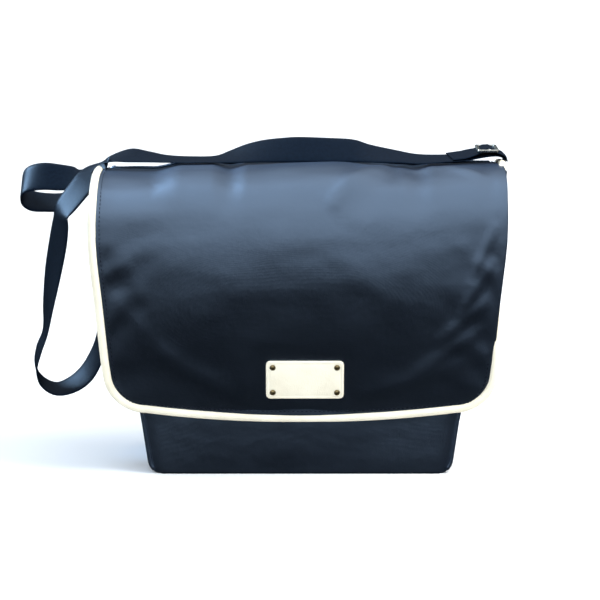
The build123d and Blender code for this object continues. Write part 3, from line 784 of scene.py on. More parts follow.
def stitches(name, line, normal_of, body, material=NAVY_THREAD, radius=0.00035, length=0.0030, gap=0.0014):
    """Row of short thread stitches along a line."""
    spots = even(line, length + gap)
    verts, faces = [], []
    for a, b in zip(spots, spots[1:]):
        t = (b - a).normalized()
        n = normal_of((a + b) / 2)
        n = (n - t * n.dot(t)).normalized()
        w = t.cross(n)
        shape = (len(STITCH_RINGS), STITCH_SIDES, len(verts))
        faces += ring_faces(*shape) + end_faces(*shape)
        for f, size, lift in STITCH_RINGS:
            c = a + t * (length * f) + n * (radius * lift)
            for k in range(STITCH_SIDES):
                angle = 2 * math.pi * k / STITCH_SIDES
                verts.append(c + (w * math.cos(angle) + n * math.sin(angle) * 0.8) * radius * size)
    row = finish_mesh(name, verts, faces)
    fit_out(row, material, body)
    return row


def flap_normal(p):
    """Outward direction near a point of the flap."""
    def distance(k):
        return (FLAP_LINE[k].y - p.y) ** 2 + (FLAP_LINE[k].z - p.z) ** 2

    best = min(range(0, len(FLAP_LINE) - 1, 2), key=distance)
    t = (FLAP_LINE[best + 1] - FLAP_LINE[best]).normalized()
    return Vector((0, t.z, -t.y))


def bend_with_flap(obj):
    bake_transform(obj)


LINING_GAP = 0.0004
FLAP_LINING_THICK = 0.0008
FLAP_STITCH_INSET = PIPING_R + 0.0035


def make_flap():
    outer = flap_sheet("flap_cloth", 0.0, FLAP_THICK, PIPING_R * 0.55)
    fit_out(outer, NYLON, None, "flap_top_panel", "flap_front_panel")
    inner = flap_sheet("flap_lining_cloth", -FLAP_THICK - LINING_GAP, FLAP_LINING_THICK, PIPING_R * 0.9)
    fit_out(inner, LINING, None, "flap_top_lining", "flap_front_lining")
    piping = tube("flap_piping", flap_edge(-FLAP_THICK * 0.4), PIPING_R, 20)
    fit_out(piping, LEATHER, None, "flap_piping_front", "flap_piping_top_left", "flap_piping_top_right")
    seam = flap_edge(0.0002, FLAP_STITCH_INSET, start=0.004)
    row = stitches("flap_edge_stitches", seam, flap_normal, None)
    for piece in (outer, inner, piping, row):
        bend_with_flap(piece)


# ---- name plate -------------------------------------------------------------------------------------
def s_at_height(z):
    """Distance down the flap's front at height z."""
    for k in range(len(FLAP_LINE) - 1):
        if FLAP_LINE[k].y < -0.05 and FLAP_LINE[k + 1].z <= z <= FLAP_LINE[k].z:
            return FLAP_ALONG[k]
    return FLAP_LENGTH


def plate_point(x, z, outward):
    """Point over the flap's face at x and z."""
    s = s_at_height(z)
    for _ in range(4):
        s += flap_point(s, x / flap_half_at(s)).z - z
    return flap_point(s, x / flap_half_at(s), outward)


PLATE_CORNER = 0.0042
# Rings of the plate from its back edge inwards: how far in, and how high
PLATE_RINGS = [
    (0.0, -0.0006), (0.0, 0.0010), (0.0004, 0.0017), (0.0011, 0.0021), (0.0022, 0.0021),
    (0.0030, 0.0017), (0.0038, 0.0019), (0.0055, 0.0022), (0.010, 0.0024), (0.016, 0.0025),
]
PLATE_SPOTS = 96


def domed(verts, rings, count, top):
    """Faces of a dome from the last rings of points in verts up to top, which is added, and its back."""
    base = len(verts) - rings * count
    last = base + (rings - 1) * count
    verts.append(top)
    faces = ring_faces(rings, count, base)
    faces += [(last + k, last + (k + 1) % count, len(verts) - 1) for k in range(count)]
    return faces + end_faces(rings, count, base)[:1]


def make_plate():
    """Padded leather plate with a pressed edge and four domed rivets."""
    centre = (PLATE_LO + PLATE_HI) / 2
    half_w = (PLATE_HI.x - PLATE_LO.x) / 2
    half_h = (PLATE_HI.z - PLATE_LO.z) / 2
    verts = []
    for inset, height in PLATE_RINGS:
        r = max(PLATE_CORNER - inset, 0.0008)
        for k in range(PLATE_SPOTS):
            x, z = plate_outline(half_w - inset, half_h - inset, r, k / PLATE_SPOTS)
            verts.append(plate_point(centre.x + x, centre.z + z, height))
    faces = domed(verts, len(PLATE_RINGS), PLATE_SPOTS, plate_point(centre.x, centre.z, PLATE_RINGS[-1][1]))
    plate = finish_mesh("leather_plate", verts, faces)
    fit_out(plate, LEATHER, "flap_front", "name_plate")
    make_rivets(centre, half_w, half_h)


def plate_outline(w, h, r, f):
    """Place round a rounded rectangle about its middle, f from 0 to 1."""
    arc = math.pi / 2 * r
    across, up = w - r, h - r
    d = f * 4 * (across + up + arc)
    corners = ((across, -up, -90), (across, up, 0), (-across, up, 90), (-across, -up, 180))
    for (cx, cz, start), side in zip(corners, (2 * up, 2 * across) * 2):
        turn = min(d / r, math.pi / 2)
        a = math.radians(start) + turn
        run = d - arc
        if run <= side:
            run = max(run, 0)
            return cx + r * math.cos(a) - math.sin(a) * run, cz + r * math.sin(a) + math.cos(a) * run
        d = run - side
    return across, -h


RIVET_PROFILE = [
    (0.0029, 0.0000), (0.0030, 0.0005), (0.0026, 0.0009), (0.0021, 0.0008),
    (0.0019, 0.0011), (0.0013, 0.0015), (0.0006, 0.0017),
]
RIVET_INSET = 0.0068
RIVET_SIDES = 24
RIVET_FOOT = 0.0021
RIVET_TOP = 0.0018


def make_rivets(centre, half_w, half_h):
    verts, faces = [], []
    for sx in (-1, 1):
        for sz in (-1, 1):
            x = centre.x + sx * (half_w - RIVET_INSET)
            z = centre.z + sz * (half_h - RIVET_INSET)
            for r, h in RIVET_PROFILE:
                for k in range(RIVET_SIDES):
                    a = 2 * math.pi * k / RIVET_SIDES
                    verts.append(plate_point(x + r * math.cos(a), z + r * math.sin(a), RIVET_FOOT + h))
            top = plate_point(x, z, RIVET_FOOT + RIVET_TOP)
            faces += domed(verts, len(RIVET_PROFILE), RIVET_SIDES, top)
    rivets = finish_mesh("plate_rivet_heads", verts, faces)
    fit_out(rivets, BRASS, "flap_front", "plate_rivets")


# ---- body shell ----------------------------------------------------------------------------------
SIDE_X = 0.2            # any place this far out is past the drooping corner
BOTTOM_CORNER_R = 0.012
SIDE_PINCH = 0.010      # how far the top of a side wall folds in at its middle
PINCH_SPREAD = 0.018
FOOT_BELLY = 0.009
SEAM_REACH = 0.02       # how far from a corner seam the wall's cloth is drawn in
SEAM_TUCK = 0.00315
WALL_BULGE = 0.004
WELT_R = 0.0019
WELT_FOOT = 0.004
WELT_DEPTH = 0.0022


def body_half(z):
    return BASE_HALF + FLARE * z


def rim_z(y, x):
    """Height of the mouth at a place, with the drooping corner."""
    back = (y - FRONT_Y) / (BACK_Y - FRONT_Y)
    return FRONT_TOP + (BACK_TOP - FRONT_TOP) * back - shoulder_drop(x) * smoothstep(0.3, 1.0, back)


def front_y(z):
    """The front's place in Y: it bellies forward at its foot."""
    return FRONT_Y - FOOT_BELLY * (1 - smoothstep(-0.02, 0.15, z))


def sag(p):
    """Soft bulge and creases of the body's cloth."""
    broad = folds(p + Vector((7.7, 0.3, 1.9)), 7.0, (1, 1, 0.7))
    fine = folds(p + Vector((2.2, 8.1, 0.5)), 22.0, (0.6, 1, 1))
    return 0.0014 * broad + 0.0006 * fine


def seam_tuck(inside):
    """How far a wall is drawn in near a seam that lies inside away, and how freely it sags there."""
    edge = smoothstep(0, SEAM_REACH, inside)
    return SEAM_TUCK * (1 - edge) ** 2, edge


def face_wall_spot(sign, t, f):
    """Place and UV on the front (sign -1) or back wall, t up and f across."""
    z = (BACK_TOP if sign > 0 else FRONT_TOP) * t
    half = body_half(z)
    u = (1 - f * 2) * sign
    x = u * (half - round_in(z, BOTTOM_CORNER_R))
    if sign > 0:
        z -= shoulder_drop(x) * smoothstep(0.8, 1.0, t)
    tuck, edge = seam_tuck(half - abs(x))
    bulge = WALL_BULGE * math.sin(math.pi * t) * math.cos(u * math.pi / 2)
    p = Vector((x, BACK_Y if sign > 0 else front_y(z), z))
    p.y += sign * (bulge + sag(p) * edge * smoothstep(0, 0.1, t) - tuck)
    return p, (p.x + p.y, p.z)


def side_wall_spot(sign, t, f):
    """Place and UV on the left (sign -1) or right wall, t up and f along."""
    share = f if sign > 0 else 1 - f
    z = rim_z(FRONT_Y + (BACK_Y - FRONT_Y) * share, sign * SIDE_X) * t
    y0 = front_y(z)
    y = y0 + 0.002 + (BACK_Y - y0 - 0.004) * share
    tuck, edge = seam_tuck(min(y - y0, BACK_Y - y))
    pinch = SIDE_PINCH * smoothstep(0.35, 1, t) * math.exp(-((y / PINCH_SPREAD) ** 2))
    bulge = WALL_BULGE * math.sin(math.pi * min(t * 1.1, 1)) * edge
    x = body_half(z) - round_in(z, BOTTOM_CORNER_R) + bulge - pinch - tuck
    x += sag(Vector((sign * SIDE_X, y, z))) * edge * smoothstep(0, 0.1, t)
    return Vector((sign * x, y, z)), (sign * x + y, z)


WALLS = {
    "front": ("front_panel", face_wall_spot, -1),
    "back": ("back_panel", face_wall_spot, 1),
    "left": ("gusset_left", side_wall_spot, -1),
    "right": ("gusset_right", side_wall_spot, 1),
}


def make_walls():
    for side_name, (node, spot, sign) in WALLS.items():
        grid, uvs = point_grid(110, 120, lambda t, f, spot=spot, sign=sign: spot(sign, t, f))
        wall = cloth_sheet("body_" + side_name, grid, PANEL_THICK, uvs)
        fit_out(wall, NYLON, "bag", node)
    for left_right, sx in (("left", -1), ("right", 1)):
        make_welt(f"corner_welt_{left_right}_front", sx, FRONT_TOP, lambda z: front_y(z) + WELT_DEPTH)
        make_welt(f"corner_welt_{left_right}_back", sx, BACK_TOP, lambda z: BACK_Y - WELT_DEPTH)


def make_welt(name, sx, top, depth):
    """Corded seam up one corner of the body; depth gives its Y at a height."""
    line = []
    for i in range(60):
        z = WELT_FOOT + (top - WELT_FOOT) * i / 59
        half = body_half(z) - round_in(z, BOTTOM_CORNER_R) - 0.0012
        line.append(Vector((sx * half, depth(z), z)))
    fit_out(tube(name, even(line, 0.003), WELT_R, 12), NYLON, "bag")


# ---- strap -----------------------------------------------------------------------------------------
def lean(degrees, along=0.0):
    """Direction across webbing that lies along X, its far edge raised by so many degrees."""
    a = math.radians(degrees)
    return (along, math.cos(a), math.sin(a))


def lay_webbing(made, body, held, rests_on, *nodes):
    """Fits out a piece of webbing, given with its length; rests_on, the piece that it would rest on, is not
    used.
    """
    obj, length = made
    fit_out(obj, WEBBING, body, *nodes)
    return obj


# The strap runs outside the flap's edges, so that it doesn't cut them
SLACK_SPLIT_X = -0.226     # the strap's slack is cut here into two pieces
LEFT_SHOULDER = ((-0.2000, 0.0320, 0.3060), lean(4, 0.12))
STRAP_TOP_ROUTE = [
    ((0.1700, 0.0290, 0.3100), lean(8)),
    ((0.1500, 0.0255, 0.3085), lean(6)),
    ((0.1214, 0.0240, 0.3080), lean(10)),
    ((0.1007, 0.0235, 0.3104), lean(15)),
    ((0.0717, 0.0225, 0.3138), lean(27)),
    ((0.0541, 0.0210, 0.3168), lean(39)),
    ((0.0304, 0.0200, 0.3177), lean(43)),
    ((-0.0004, 0.0195, 0.3183), lean(46)),
    ((-0.0168, 0.0198, 0.3178), lean(44)),
    ((-0.0370, 0.0205, 0.3166), lean(38)),
    ((-0.0560, 0.0215, 0.3140), lean(28)),
    ((-0.0737, 0.0235, 0.3104), lean(14)),
    ((-0.0882, 0.0245, 0.3078), lean(4)),
    ((-0.1140, 0.0250, 0.3072), lean(4)),
    ((-0.1377, 0.0250, 0.3080), lean(6)),
    ((-0.1552, 0.0255, 0.3098), lean(12)),
    ((-0.1737, 0.0265, 0.3114), lean(18)),
    ((-0.1883, 0.0290, 0.3098), lean(10, 0.06)),
    LEFT_SHOULDER,
]
STRAP_RIGHT_ROUTE = [
    ((0.2077, 0.035, 0.2920), lean(0)),
    ((0.2100, 0.035, 0.3000), lean(0)),
    ((0.2092, 0.035, 0.3080), lean(0)),
    ((0.2030, 0.035, 0.3118), lean(2)),
    ((0.1920, 0.034, 0.3122), lean(4)),
    ((0.1800, 0.0315, 0.3112), lean(6)),
    ((0.1700, 0.0290, 0.3100), lean(8)),
]
TAIL_ROUTE = [
    ((0.1530, 0.0258, 0.3103), lean(6)),
    ((0.1550, 0.0262, 0.3105), lean(6)),
    ((0.1660, 0.0282, 0.3117), lean(7)),
    ((0.1760, 0.0310, 0.3140), lean(6)),
    ((0.1830, 0.0330, 0.3160), lean(4)),
    ((0.1875, 0.0345, 0.3182), lean(2)),
    ((0.1920, 0.0350, 0.3196), lean(0)),
    ((0.1965, 0.0350, 0.3182), lean(0)),
    ((0.2010, 0.0350, 0.3150), lean(0)),
    ((0.2050, 0.0350, 0.3134), lean(0)),
    ((0.2098, 0.0350, 0.3112), lean(0)),
    ((0.2118, 0.0350, 0.3060), lean(0)),
]


def make_strap():
    """The run over the top, the run on to the right ring, and the free end woven over the slider's bar."""
    lay_webbing(ribbon("strap_over_top", STRAP_TOP_ROUTE), "strap_over", "laid", "flap_cloth", "strap_top")
    made = ribbon("strap_over_right", STRAP_RIGHT_ROUTE)
    right = lay_webbing(made, None, "laid", "flap_cloth", "strap_lower_run")
    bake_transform(right)
    made = ribbon("strap_tail", TAIL_ROUTE)
    lay_webbing(made, "strap_over", "laid", "strap_over_top", "strap_upper_run")


SLACK_ROUTE = [
    LEFT_SHOULDER,
    ((-0.2105, 0.0240, 0.2965), (-0.25, 0.88, 0.36)),
    ((-0.2205, 0.0110, 0.2855), (-0.36, 0.82, 0.44)),
    ((-0.2298, 0.0020, 0.2745), (-0.40, 0.80, 0.44)),
    ((-0.2390, -0.0040, 0.2630), (-0.42, 0.80, 0.42)),
    ((-0.2435, -0.0060, 0.2550), (-0.46, 0.84, 0.25)),
    ((-0.2440, -0.0060, 0.2460), (-0.58, 0.81, 0.04)),
    ((-0.2475, -0.0040, 0.2250), (-0.64, 0.77, 0.0)),
    ((-0.2535, -0.0010, 0.1950), (-0.60, 0.80, 0.0)),
    ((-0.2595, 0.001, 0.160), (-0.44, 0.90, 0.0)),
    ((-0.2635, 0.002, 0.131), (-0.26, 0.96, 0.0)),
    ((-0.2705, 0.002, 0.112), (-0.28, 0.96, 0.0)),
    ((-0.2738, 0.002, 0.094), (-0.18, 0.98, 0.0)),
    ((-0.2680, 0.002, 0.079), (-0.05, 0.99, 0.10)),
    ((-0.2540, 0.002, 0.071), (-0.1, 0.97, 0.20)),
    ((-0.2375, 0.002, 0.075), (-0.25, 0.93, 0.30)),
    ((-0.2228, 0.002, 0.086), (-0.38, 0.88, 0.32)),
    ((-0.2128, 0.003, 0.102), (-0.42, 0.88, 0.25)),
    ((-0.2072, 0.006, 0.122), (-0.35, 0.93, 0.12)),
    ((-0.2060, 0.012, 0.155), (-0.15, 0.99, 0.0)),
    ((-0.2040, 0.022, 0.200), (0, 1, 0)),
    ((-0.2044, 0.032, 0.240), (0, 1, 0)),
    ((-0.2050, 0.035, 0.268), (0, 1, 0)),
    ((-0.2047, 0.035, 0.290), (0, 1, 0)),
]
BIGHT_ROUTE = [
    ((-0.2122, 0.036, 0.2945), lean(4)),
    ((-0.2190, 0.040, 0.2870), lean(10)),
    ((-0.2270, 0.043, 0.2755), lean(20)),
    ((-0.2370, 0.044, 0.2650), lean(25)),
    ((-0.2491, 0.044, 0.2600), lean(27)),
    ((-0.2640, 0.044, 0.2596), lean(28)),
    ((-0.2775, 0.043, 0.2612), lean(31)),
    ((-0.2855, 0.040, 0.2668), lean(34)),
    ((-0.2878, 0.036, 0.2745), lean(38)),
    ((-0.2852, 0.031, 0.2825), lean(43)),
    ((-0.2770, 0.028, 0.2875), lean(49)),
    ((-0.2630, 0.027, 0.2896), lean(52)),
    ((-0.2440, 0.029, 0.2880), lean(46)),
    ((-0.2279, 0.032, 0.2885), lean(30)),
    ((-0.2185, 0.035, 0.2930), lean(12)),
    ((-0.2128, 0.035, 0.2965), lean(2)),
]


def make_slack():
    """Slack of the strap: down beside the bag, up behind the flap to the ring, and a bight to the left."""
    spots = webbing_line(SLACK_ROUTE)
    split = next(k for k, spot in enumerate(spots) if spot[0].x < SLACK_SPLIT_X)
    made = webbing_mesh("strap_shoulder", spots, last=split)
    shoulder = lay_webbing(made, None, "hung", "flap_cloth")
    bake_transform(shoulder)
    made = webbing_mesh("strap_slack", spots, first=split)
    lay_webbing(made, "bag", "hung", "side_ring_left", "strap_drop")
    made = ribbon("strap_bight", BIGHT_ROUTE, step=0.003)
    lay_webbing(made, "bag", "hung", "side_ring_left", "strap_loop")


# ---- side rings, tabs and the strap's folds ---------------------------------------------------------
RING_WIRE_R = 0.0018
FOLD_R = RING_WIRE_R + 0.00115
TAB_LOW = 0.232
ACROSS = (0, 1, 0)


def arc_route(centre, a0, a1, count):
    """Route of webbing round a ring's bar, from one angle in XZ to another."""
    out = []
    for i in range(count + 1):
        a = math.radians(a0 + (a1 - a0) * i / count)
        spot = (centre.x + FOLD_R * math.cos(a), centre.y, centre.z + FOLD_R * math.sin(a))
        out.append((spot, ACROSS))
    return out


def ring_bars(side):
    """Middles of a side ring's lower and upper bars."""
    lo, hi = low("side_ring_" + side), high("side_ring_" + side)
    y = (lo.y + hi.y) / 2
    inner, outer = (lo.x, hi.x) if side == "right" else (hi.x, lo.x)
    sign = 1 if side == "right" else -1
    lower = Vector((inner + sign * RING_WIRE_R, y, lo.z + RING_WIRE_R))
    upper = Vector((outer - sign * RING_WIRE_R, y, hi.z - RING_WIRE_R))
    return sign, lower, upper


def make_ring_side(side):
    """The strap's fold round a ring's upper bar, and the tab that holds its lower bar to the side wall."""
    sign, lower, upper = ring_bars(side)
    leg = sign * (FOLD_R + 0.0004)
    fold = [((upper.x - leg, upper.y, upper.z + 0.0068), ACROSS)]
    fold += arc_route(upper, *((180, 360) if sign > 0 else (360, 180)), 8)
    fold += [((upper.x + leg, upper.y, upper.z + 0.0078), ACROSS)]
    strap = ribbon("strap_fold_" + side, fold, step=0.0012)[0]
    fit_out(strap, WEBBING, "ring_" + side, "ring_fold_" + side)

    wall_x = sign * (body_half(TAB_LOW) + 0.0022)
    legs = ((0.0, 0.0), (0.0045, 0.022), (0.0070, 0.022), (0.0020, 0.0))
    route = [((wall_x + sign * out, lower.y, TAB_LOW + up), ACROSS) for out, up in legs]
    route[2:2] = arc_route(lower, *((200, -20) if sign > 0 else (-20, 200)), 10)
    tab = ribbon("strap_tab_" + side, route, step=0.0016)[0]
    fit_out(tab, WEBBING, "bag", "ring_tab_" + side)
    make_tab_stitches(side, sign, wall_x, lower.y)


def make_tab_stitches(side, sign, wall_x, y):
    """Crossed box of stitches that holds a tab to the side panel."""
    half, z0, z1 = 0.0128, TAB_LOW + 0.0015, TAB_LOW + 0.0180

    def spot(dy, z):
        return Vector((wall_x + sign * (0.0030 + (z - TAB_LOW) * 0.20), y + dy, z))

    turns = ((-half, z0), (half, z0), (half, z1), (-half, z1), (-half, z0), (half, z1))
    corners = [spot(dy, z) for dy, z in turns]
    stitches("tab_stitches_" + side, corners, lambda p: Vector((sign, 0, 0)), "bag")


# ---- inside and base --------------------------------------------------------------------------------
def shell(name, rings, thickness):
    """Closed-bottomed cloth shell from rings of points, top first; its cloth lies inside the rings."""
    rows, cols = len(rings), len(rings[0])
    outer = [p for ring in rings for p in ring]
    normals = [n for row in grid_normals(rings, closed=True) for n in row]
    verts = outer + [p + n * thickness for p, n in zip(outer, normals)]
    back = len(outer)
    faces = []
    for a, b, c, d in ring_faces(rows, cols):
        faces.append((d, c, b, a))
        faces.append((back + a, back + b, back + c, back + d))
    for j in range(cols):
        j2 = (j + 1) % cols
        faces.append((j, j2, back + j2, back + j))
    faces.append(end_faces(rows, cols)[1])
    faces.append(end_faces(rows, cols, back)[1][::-1])
    return finish_mesh(name, verts, faces)


LINING_STANDOFF = 0.0030
LINING_FLOOR = 0.0060
LINING_SPOTS = 320
LINING_SQUARENESS = 2 / 9
LINING_PINCH_EXTRA = 0.0005  # the lining folds in a little more than the wall outside it


def lining_ring(t, shrink, z=None):
    """Loop round the inside of the bag: t is the height as a share of the rim's."""
    points = []
    for k in range(LINING_SPOTS):
        a = 2 * math.pi * k / LINING_SPOTS
        ux, uy = (math.copysign(abs(v) ** LINING_SQUARENESS, v) for v in (math.cos(a), math.sin(a)))
        y = (FRONT_Y + BACK_Y) / 2 + uy * ((BACK_Y - FRONT_Y) / 2 - LINING_STANDOFF)
        top = rim_z(y, ux * TOP_HALF) - 0.0006
        height = LINING_FLOOR + (top - LINING_FLOOR) * t if z is None else z
        half = body_half(height) - LINING_STANDOFF - 0.006 * (1 - smoothstep(0, 0.1, t))
        pinch = math.exp(-((y / (PINCH_SPREAD + LINING_PINCH_EXTRA)) ** 2)) * smoothstep(0.33, 1, t)
        x = ux * (half - (SIDE_PINCH + LINING_PINCH_EXTRA) * pinch)
        crease = 0.0012 * folds(Vector((x, y, height)), 16, (1, 1, 0.45)) * smoothstep(0, 0.15, t)
        crease *= 1 - smoothstep(0.92, 1.0, t)
        scale = shrink * (1 - crease / 0.06)
        points.append(Vector((x * scale, y * scale, height)))
    return points


def make_lining():
    rings = [lining_ring(1 - i / 60, 1.0) for i in range(60)]
    for i, shrink in enumerate((1.0, 0.992, 0.975, 0.93, 0.85, 0.7, 0.5, 0.3, 0.1)):
        rings.append(lining_ring(0.0, shrink, LINING_FLOOR - 0.0004 * min(i, 2)))
    fit_out(shell("lining_shell", rings, 0.0009), LINING, "bag", "lining")


BASE_FRONT_Y = front_y(0) + 0.0023
BASE_BACK_Y = BACK_Y - 0.0023
BASE_TURN_R = 0.0110
BASE_STITCH_INSET = 0.008


def make_base():
    """Bottom panel with its ends turned up into the sides, and a row of stitches round it."""
    half = BASE_HALF + 0.0004
    r, flat_half = BASE_TURN_R, half - BASE_TURN_R
    turned = [(-half, 0.0117), (-half, r)]
    for i in range(1, 13):
        a = math.pi / 2 * i / 12
        turned.append((-flat_half - r * math.cos(a), r - r * math.sin(a)))
    profile = turned + [(-flat_half + 2 * flat_half * i / 60, 0.0) for i in range(1, 60)]
    profile += [(-x, z) for x, z in reversed(turned)]
    grid, uvs = [], []
    for i in range(41):
        y = BASE_FRONT_Y + (BASE_BACK_Y - BASE_FRONT_Y) * i / 40
        grid.append([Vector((x, y, z)) for x, z in reversed(profile)])
        uvs.append([(x + z, y) for x, z in profile])
    fit_out(cloth_sheet("base_cloth", grid, 0.0018, uvs), NYLON, "bag", "base_panel")
    x1, y0, y1 = flat_half - BASE_STITCH_INSET, BASE_FRONT_Y + BASE_STITCH_INSET, BACK_Y - BASE_STITCH_INSET
    corners = ((-x1, y0), (x1, y0), (x1, y1), (-x1, y1), (-x1, y0))
    loop = [Vector((x, y, 0.0004)) for x, y in corners]
    stitches("base_stitches", loop, lambda p: Vector((0, 0, 1)), "bag", radius=0.0003)


def rim_spot(sign, y):
    """Point on the top edge of a side wall."""
    z = rim_z(y, sign * SIDE_X)
    pinch = SIDE_PINCH * math.exp(-((y / PINCH_SPREAD) ** 2))
    return Vector((sign * (body_half(z) - 0.0018 - pinch), y, z + 0.0002))


def make_rims():
    """Bound edge round the mouth, and the strip over the hinge line."""
    back = BACK_Y - 0.003
    left = [rim_spot(-1, back + (FRONT_Y - back) * i / 39) for i in range(40)]
    corner = left[-1].x
    y, z = FRONT_Y + 0.0010, FRONT_TOP + 0.0002
    front = [Vector((corner - 2 * corner * i / 80, y, z)) for i in range(1, 80)]
    right = [rim_spot(1, p.y) for p in reversed(left)]
    rim = tube("rim_edge_binding", even(left + front + right, 0.0030), 0.0030, 14, squash=(1.0, 0.72))
    fit_out(rim, NYLON, "bag", "rim_binding")
    make_hinge_cloth()


def make_hinge_cloth():
    """Strip of cloth from the back panel over the hinge line onto the flap, with two rows of stitches."""
    half = high("hinge_seam").x + 0.0012
    profile = [
        (BACK_Y + 0.0016, BACK_TOP - 0.014), (BACK_Y + 0.0016, BACK_TOP - 0.006),
        (BACK_Y + 0.0014, BACK_TOP), (HINGE.y + 0.0015, HINGE.z + 0.0005),
        (HINGE.y - 0.0020, HINGE.z + 0.0022), (0.0480, HINGE.z + 0.0026), (0.0400, HINGE.z + 0.0034),
    ]
    line = even(catmull([(0, y, z) for y, z in profile], 10), 0.0010)
    grid = []
    for p in line:
        row = []
        for j in range(161):
            x = half - 2 * half * j / 160
            wave = 0.0004 * folds(Vector((x, p.y, p.z)), 40, (1, 1, 1))
            row.append(Vector((x, p.y + wave, p.z - shoulder_drop(x) + wave)))
        grid.append(row)
    uvs = [[(q.x, q.z - q.y) for q in row[::-1]] for row in grid]
    strip = cloth_sheet("hinge_cloth", grid, 0.0012, uvs)
    fit_out(strip, NYLON, None, "hinge_seam")
    start, end = (0, HINGE.y + 0.001, HINGE.z - 0.006), (0, HINGE.y - 0.007, HINGE.z + 0.002)
    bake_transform(strip)
    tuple(start)
    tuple(end)
    rows = (("back", "bag", 4, Vector((0, 1, 0))), ("top", "flap_top", len(line) - 3, Vector((0, 0, 1))))
    for name, body, place, out in rows:
        spots = [q + out * 0.0002 for q in grid[place][::-1][2:-2]]
        stitches("hinge_stitches_" + name, spots, lambda p, out=out: out, body)


# ---- pockets ------------------------------------------------------------------------------------------
def pocket_depth(f, t, depth, gathers):
    """How far a patch pocket stands off its wall, f across and t up."""
    swell = (1 - abs(2 * f - 1) ** 7) ** 0.6 * smoothstep(-0.02, 0.10, t)
    pleat = gathers * math.sin(2 * math.pi * 11 * f + 1.6 * math.sin(9 * f)) * smoothstep(0.35, 1.0, t)
    return depth * swell * (0.86 + 0.14 * math.sin(math.pi * t)) + pleat * swell


POCKET_SKIN = 0.0012


def patch_pocket(name, node, gathers, material):
    """Patch pocket that stands towards +Y from its wall; returns the line along its top."""
    lo, hi = low(node), high(node)
    depth = hi.y - lo.y - POCKET_SKIN

    def spot(t, f):
        f = 1 - f
        x = lo.x + (hi.x - lo.x) * f
        z = lo.z + (hi.z - lo.z) * t - 0.004 * math.sin(math.pi * f) * smoothstep(0.6, 1.0, t)
        crease = 0.0006 * folds(Vector((x, lo.y, z)), 30, (1, 1, 0.7)) * smoothstep(0, 0.2, t)
        y = lo.y + 0.0009 + pocket_depth(f, t, depth, gathers) + crease * (1 - abs(2 * f - 1) ** 4)
        return Vector((x, y, z)), (x, z)

    grid, uvs = point_grid(70, 150, spot)
    fit_out(cloth_sheet(name, grid, 0.0008, uvs), material, "bag", node)
    return grid[-1]


def pocket_band(name, node, top, out, down, radius, squash, material):
    """Band along a pocket's mouth."""
    line = [Vector((p.x, p.y + out, p.z - down)) for p in top]
    fit_out(tube(name, line, radius, 12, squash=(squash, 1.0)), material, "bag", node)


def make_pockets():
    for side in ("left", "right"):
        top = patch_pocket("bottle_pocket_" + side, "slip_pocket_" + side, 0.0016, LINING)
        name, node = "pocket_elastic_" + side, "slip_elastic_" + side
        pocket_band(name, node, top, 0.0002, 0.0045, 0.0046, 0.26, NYLON)
    top = patch_pocket("rear_pocket", "back_pocket", 0.0, NYLON)
    pocket_band("rear_pocket_edge", "back_pocket_binding", top, 0.0001, 0.0035, 0.0042, 0.3, LEATHER)
    lo, hi = low("back_pocket"), high("back_pocket")
    edge = 0.0035
    x0, x1, z0, z1 = lo.x + edge, hi.x - edge, lo.z + edge, hi.z - 0.012
    corners = [(x1, z1), (x1, z0), (x0, z0), (x0, z1)]
    line = []
    for a, b in zip(corners, corners[1:]):
        for i in range(60):
            x, z = a[0] + (b[0] - a[0]) * i / 60, a[1] + (b[1] - a[1]) * i / 60
            f, t = (x - lo.x) / (hi.x - lo.x), (z - lo.z) / (hi.z - lo.z)
            y = lo.y + 0.0012 + pocket_depth(f, t, hi.y - lo.y - POCKET_SKIN, 0)
            line.append(Vector((x, y, z)))
    stitches("rear_pocket_stitches", line, lambda p: Vector((0, 1, 0)), "bag")


# ---- zip ---------------------------------------------------------------------------------------------
TAPE_STITCH_INSET = 0.003
COIL_SIDES = 8
COIL_PITCH = 0.0016
COIL_R = 0.00048
COIL_DEPTH_R = 0.00045
COIL_ARCH = [(-0.0004, 0.0), (0.0, 0.0006), (0.0009, 0.00075), (0.0019, 0.0006), (0.0024, 0.0)]


def make_zip_pocket():
    lo, hi = low("zip_pocket"), high("zip_pocket")

    def spot(t, f):
        x, z = lo.x + (hi.x - lo.x) * f, lo.z + (hi.z - lo.z) * t
        middle = math.sin(math.pi * t) * math.sin(math.pi * f)
        y = lo.y + 0.0002 - 0.0007 * middle * (0.6 + 0.4 * folds(Vector((x, 0, z)), 24, (1, 1, 0.6)))
        return Vector((x, y, z)), (x, z)

    grid, uvs = point_grid(60, 90, spot)
    fit_out(cloth_sheet("zip_pocket_cloth", grid, 0.0007, uvs), LINING, "bag", "zip_pocket")


def make_zip_tape():
    lo, hi = low("zip_tape"), high("zip_tape")

    def spot(t, f):
        x, z = lo.x + (hi.x - lo.x) * f, lo.z + (hi.z - lo.z) * t
        return Vector((x, lo.y + 0.00018 * math.cos(math.pi * 26 * t), z)), (x, z)

    grid, uvs = point_grid(26, 120, spot)
    fit_out(cloth_sheet("zip_tape_cloth", grid, 0.0005, uvs), WEBBING, "bag", "zip_tape")


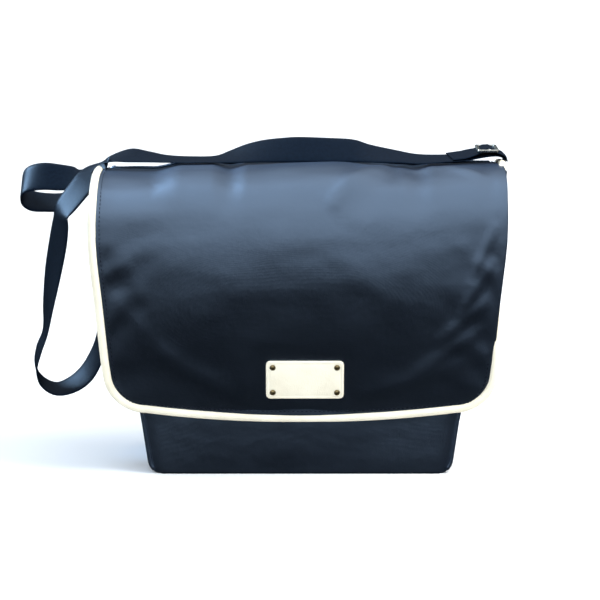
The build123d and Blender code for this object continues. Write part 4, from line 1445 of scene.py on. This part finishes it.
def make_zip_coil():
    """Turns of the coil, reaching up and down by turns."""
    lo, hi = low("zip_teeth"), high("zip_teeth")
    z, y = (lo.z + hi.z) / 2, (lo.y + hi.y) / 2
    verts, faces = [], []
    x = lo.x + COIL_PITCH
    sign = -1
    while x < hi.x - COIL_PITCH:
        shape = (len(COIL_ARCH), COIL_SIDES, len(verts))
        turn = ring_faces(*shape) + end_faces(*shape)
        faces += turn if sign > 0 else [face[::-1] for face in turn]
        for dz, dy in COIL_ARCH:
            for k in range(COIL_SIDES):
                a = 2 * math.pi * k / COIL_SIDES
                across, out = COIL_R * math.cos(a), COIL_DEPTH_R * math.sin(a)
                verts.append(Vector((x + across, y - dy + out, z + sign * dz)))
        x += COIL_PITCH / 2
        sign = -sign
    fit_out(finish_mesh("zip_coil_teeth", verts, faces), COIL, "bag", "zip_teeth")


def make_zip_stitches():
    """Row of stitches round the tape, through the lining."""
    lo, hi = low("zip_tape"), high("zip_tape")
    x0, x1 = lo.x + TAPE_STITCH_INSET, hi.x - TAPE_STITCH_INSET
    z0, z1 = lo.z + TAPE_STITCH_INSET, hi.z - TAPE_STITCH_INSET
    corners = ((x0, z0), (x1, z0), (x1, z1), (x0, z1), (x0, z0))
    line = [Vector((x, lo.y - 0.0002, z)) for x, z in corners]
    stitches("zip_stitches", line, lambda p: Vector((0, -1, 0)), "bag", CREAM_THREAD, 0.0003)


# ---- hardware kept from the CAD ------------------------------------------------------------------------
METAL_NODES = [
    "zip_stops", "zip_slider", "zip_pull", "snap_sockets", "snap_studs",
    "side_ring_left", "side_ring_right", "slider_frame", "slider_bar",
]


def make_hardware():
    for node in ["base_board"] + METAL_NODES:
        for slot in frame["nodes"][node].material_slots:
            slot.material = NICKEL if node in METAL_NODES else BOARD


make_camera()
make_stage()
make_flap()
make_plate()
make_walls()
make_strap()
make_slack()
make_ring_side("left")
make_ring_side("right")
make_lining()
make_base()
make_rims()
make_pockets()
make_zip_pocket()
make_zip_tape()
make_zip_coil()
make_zip_stitches()
make_hardware()
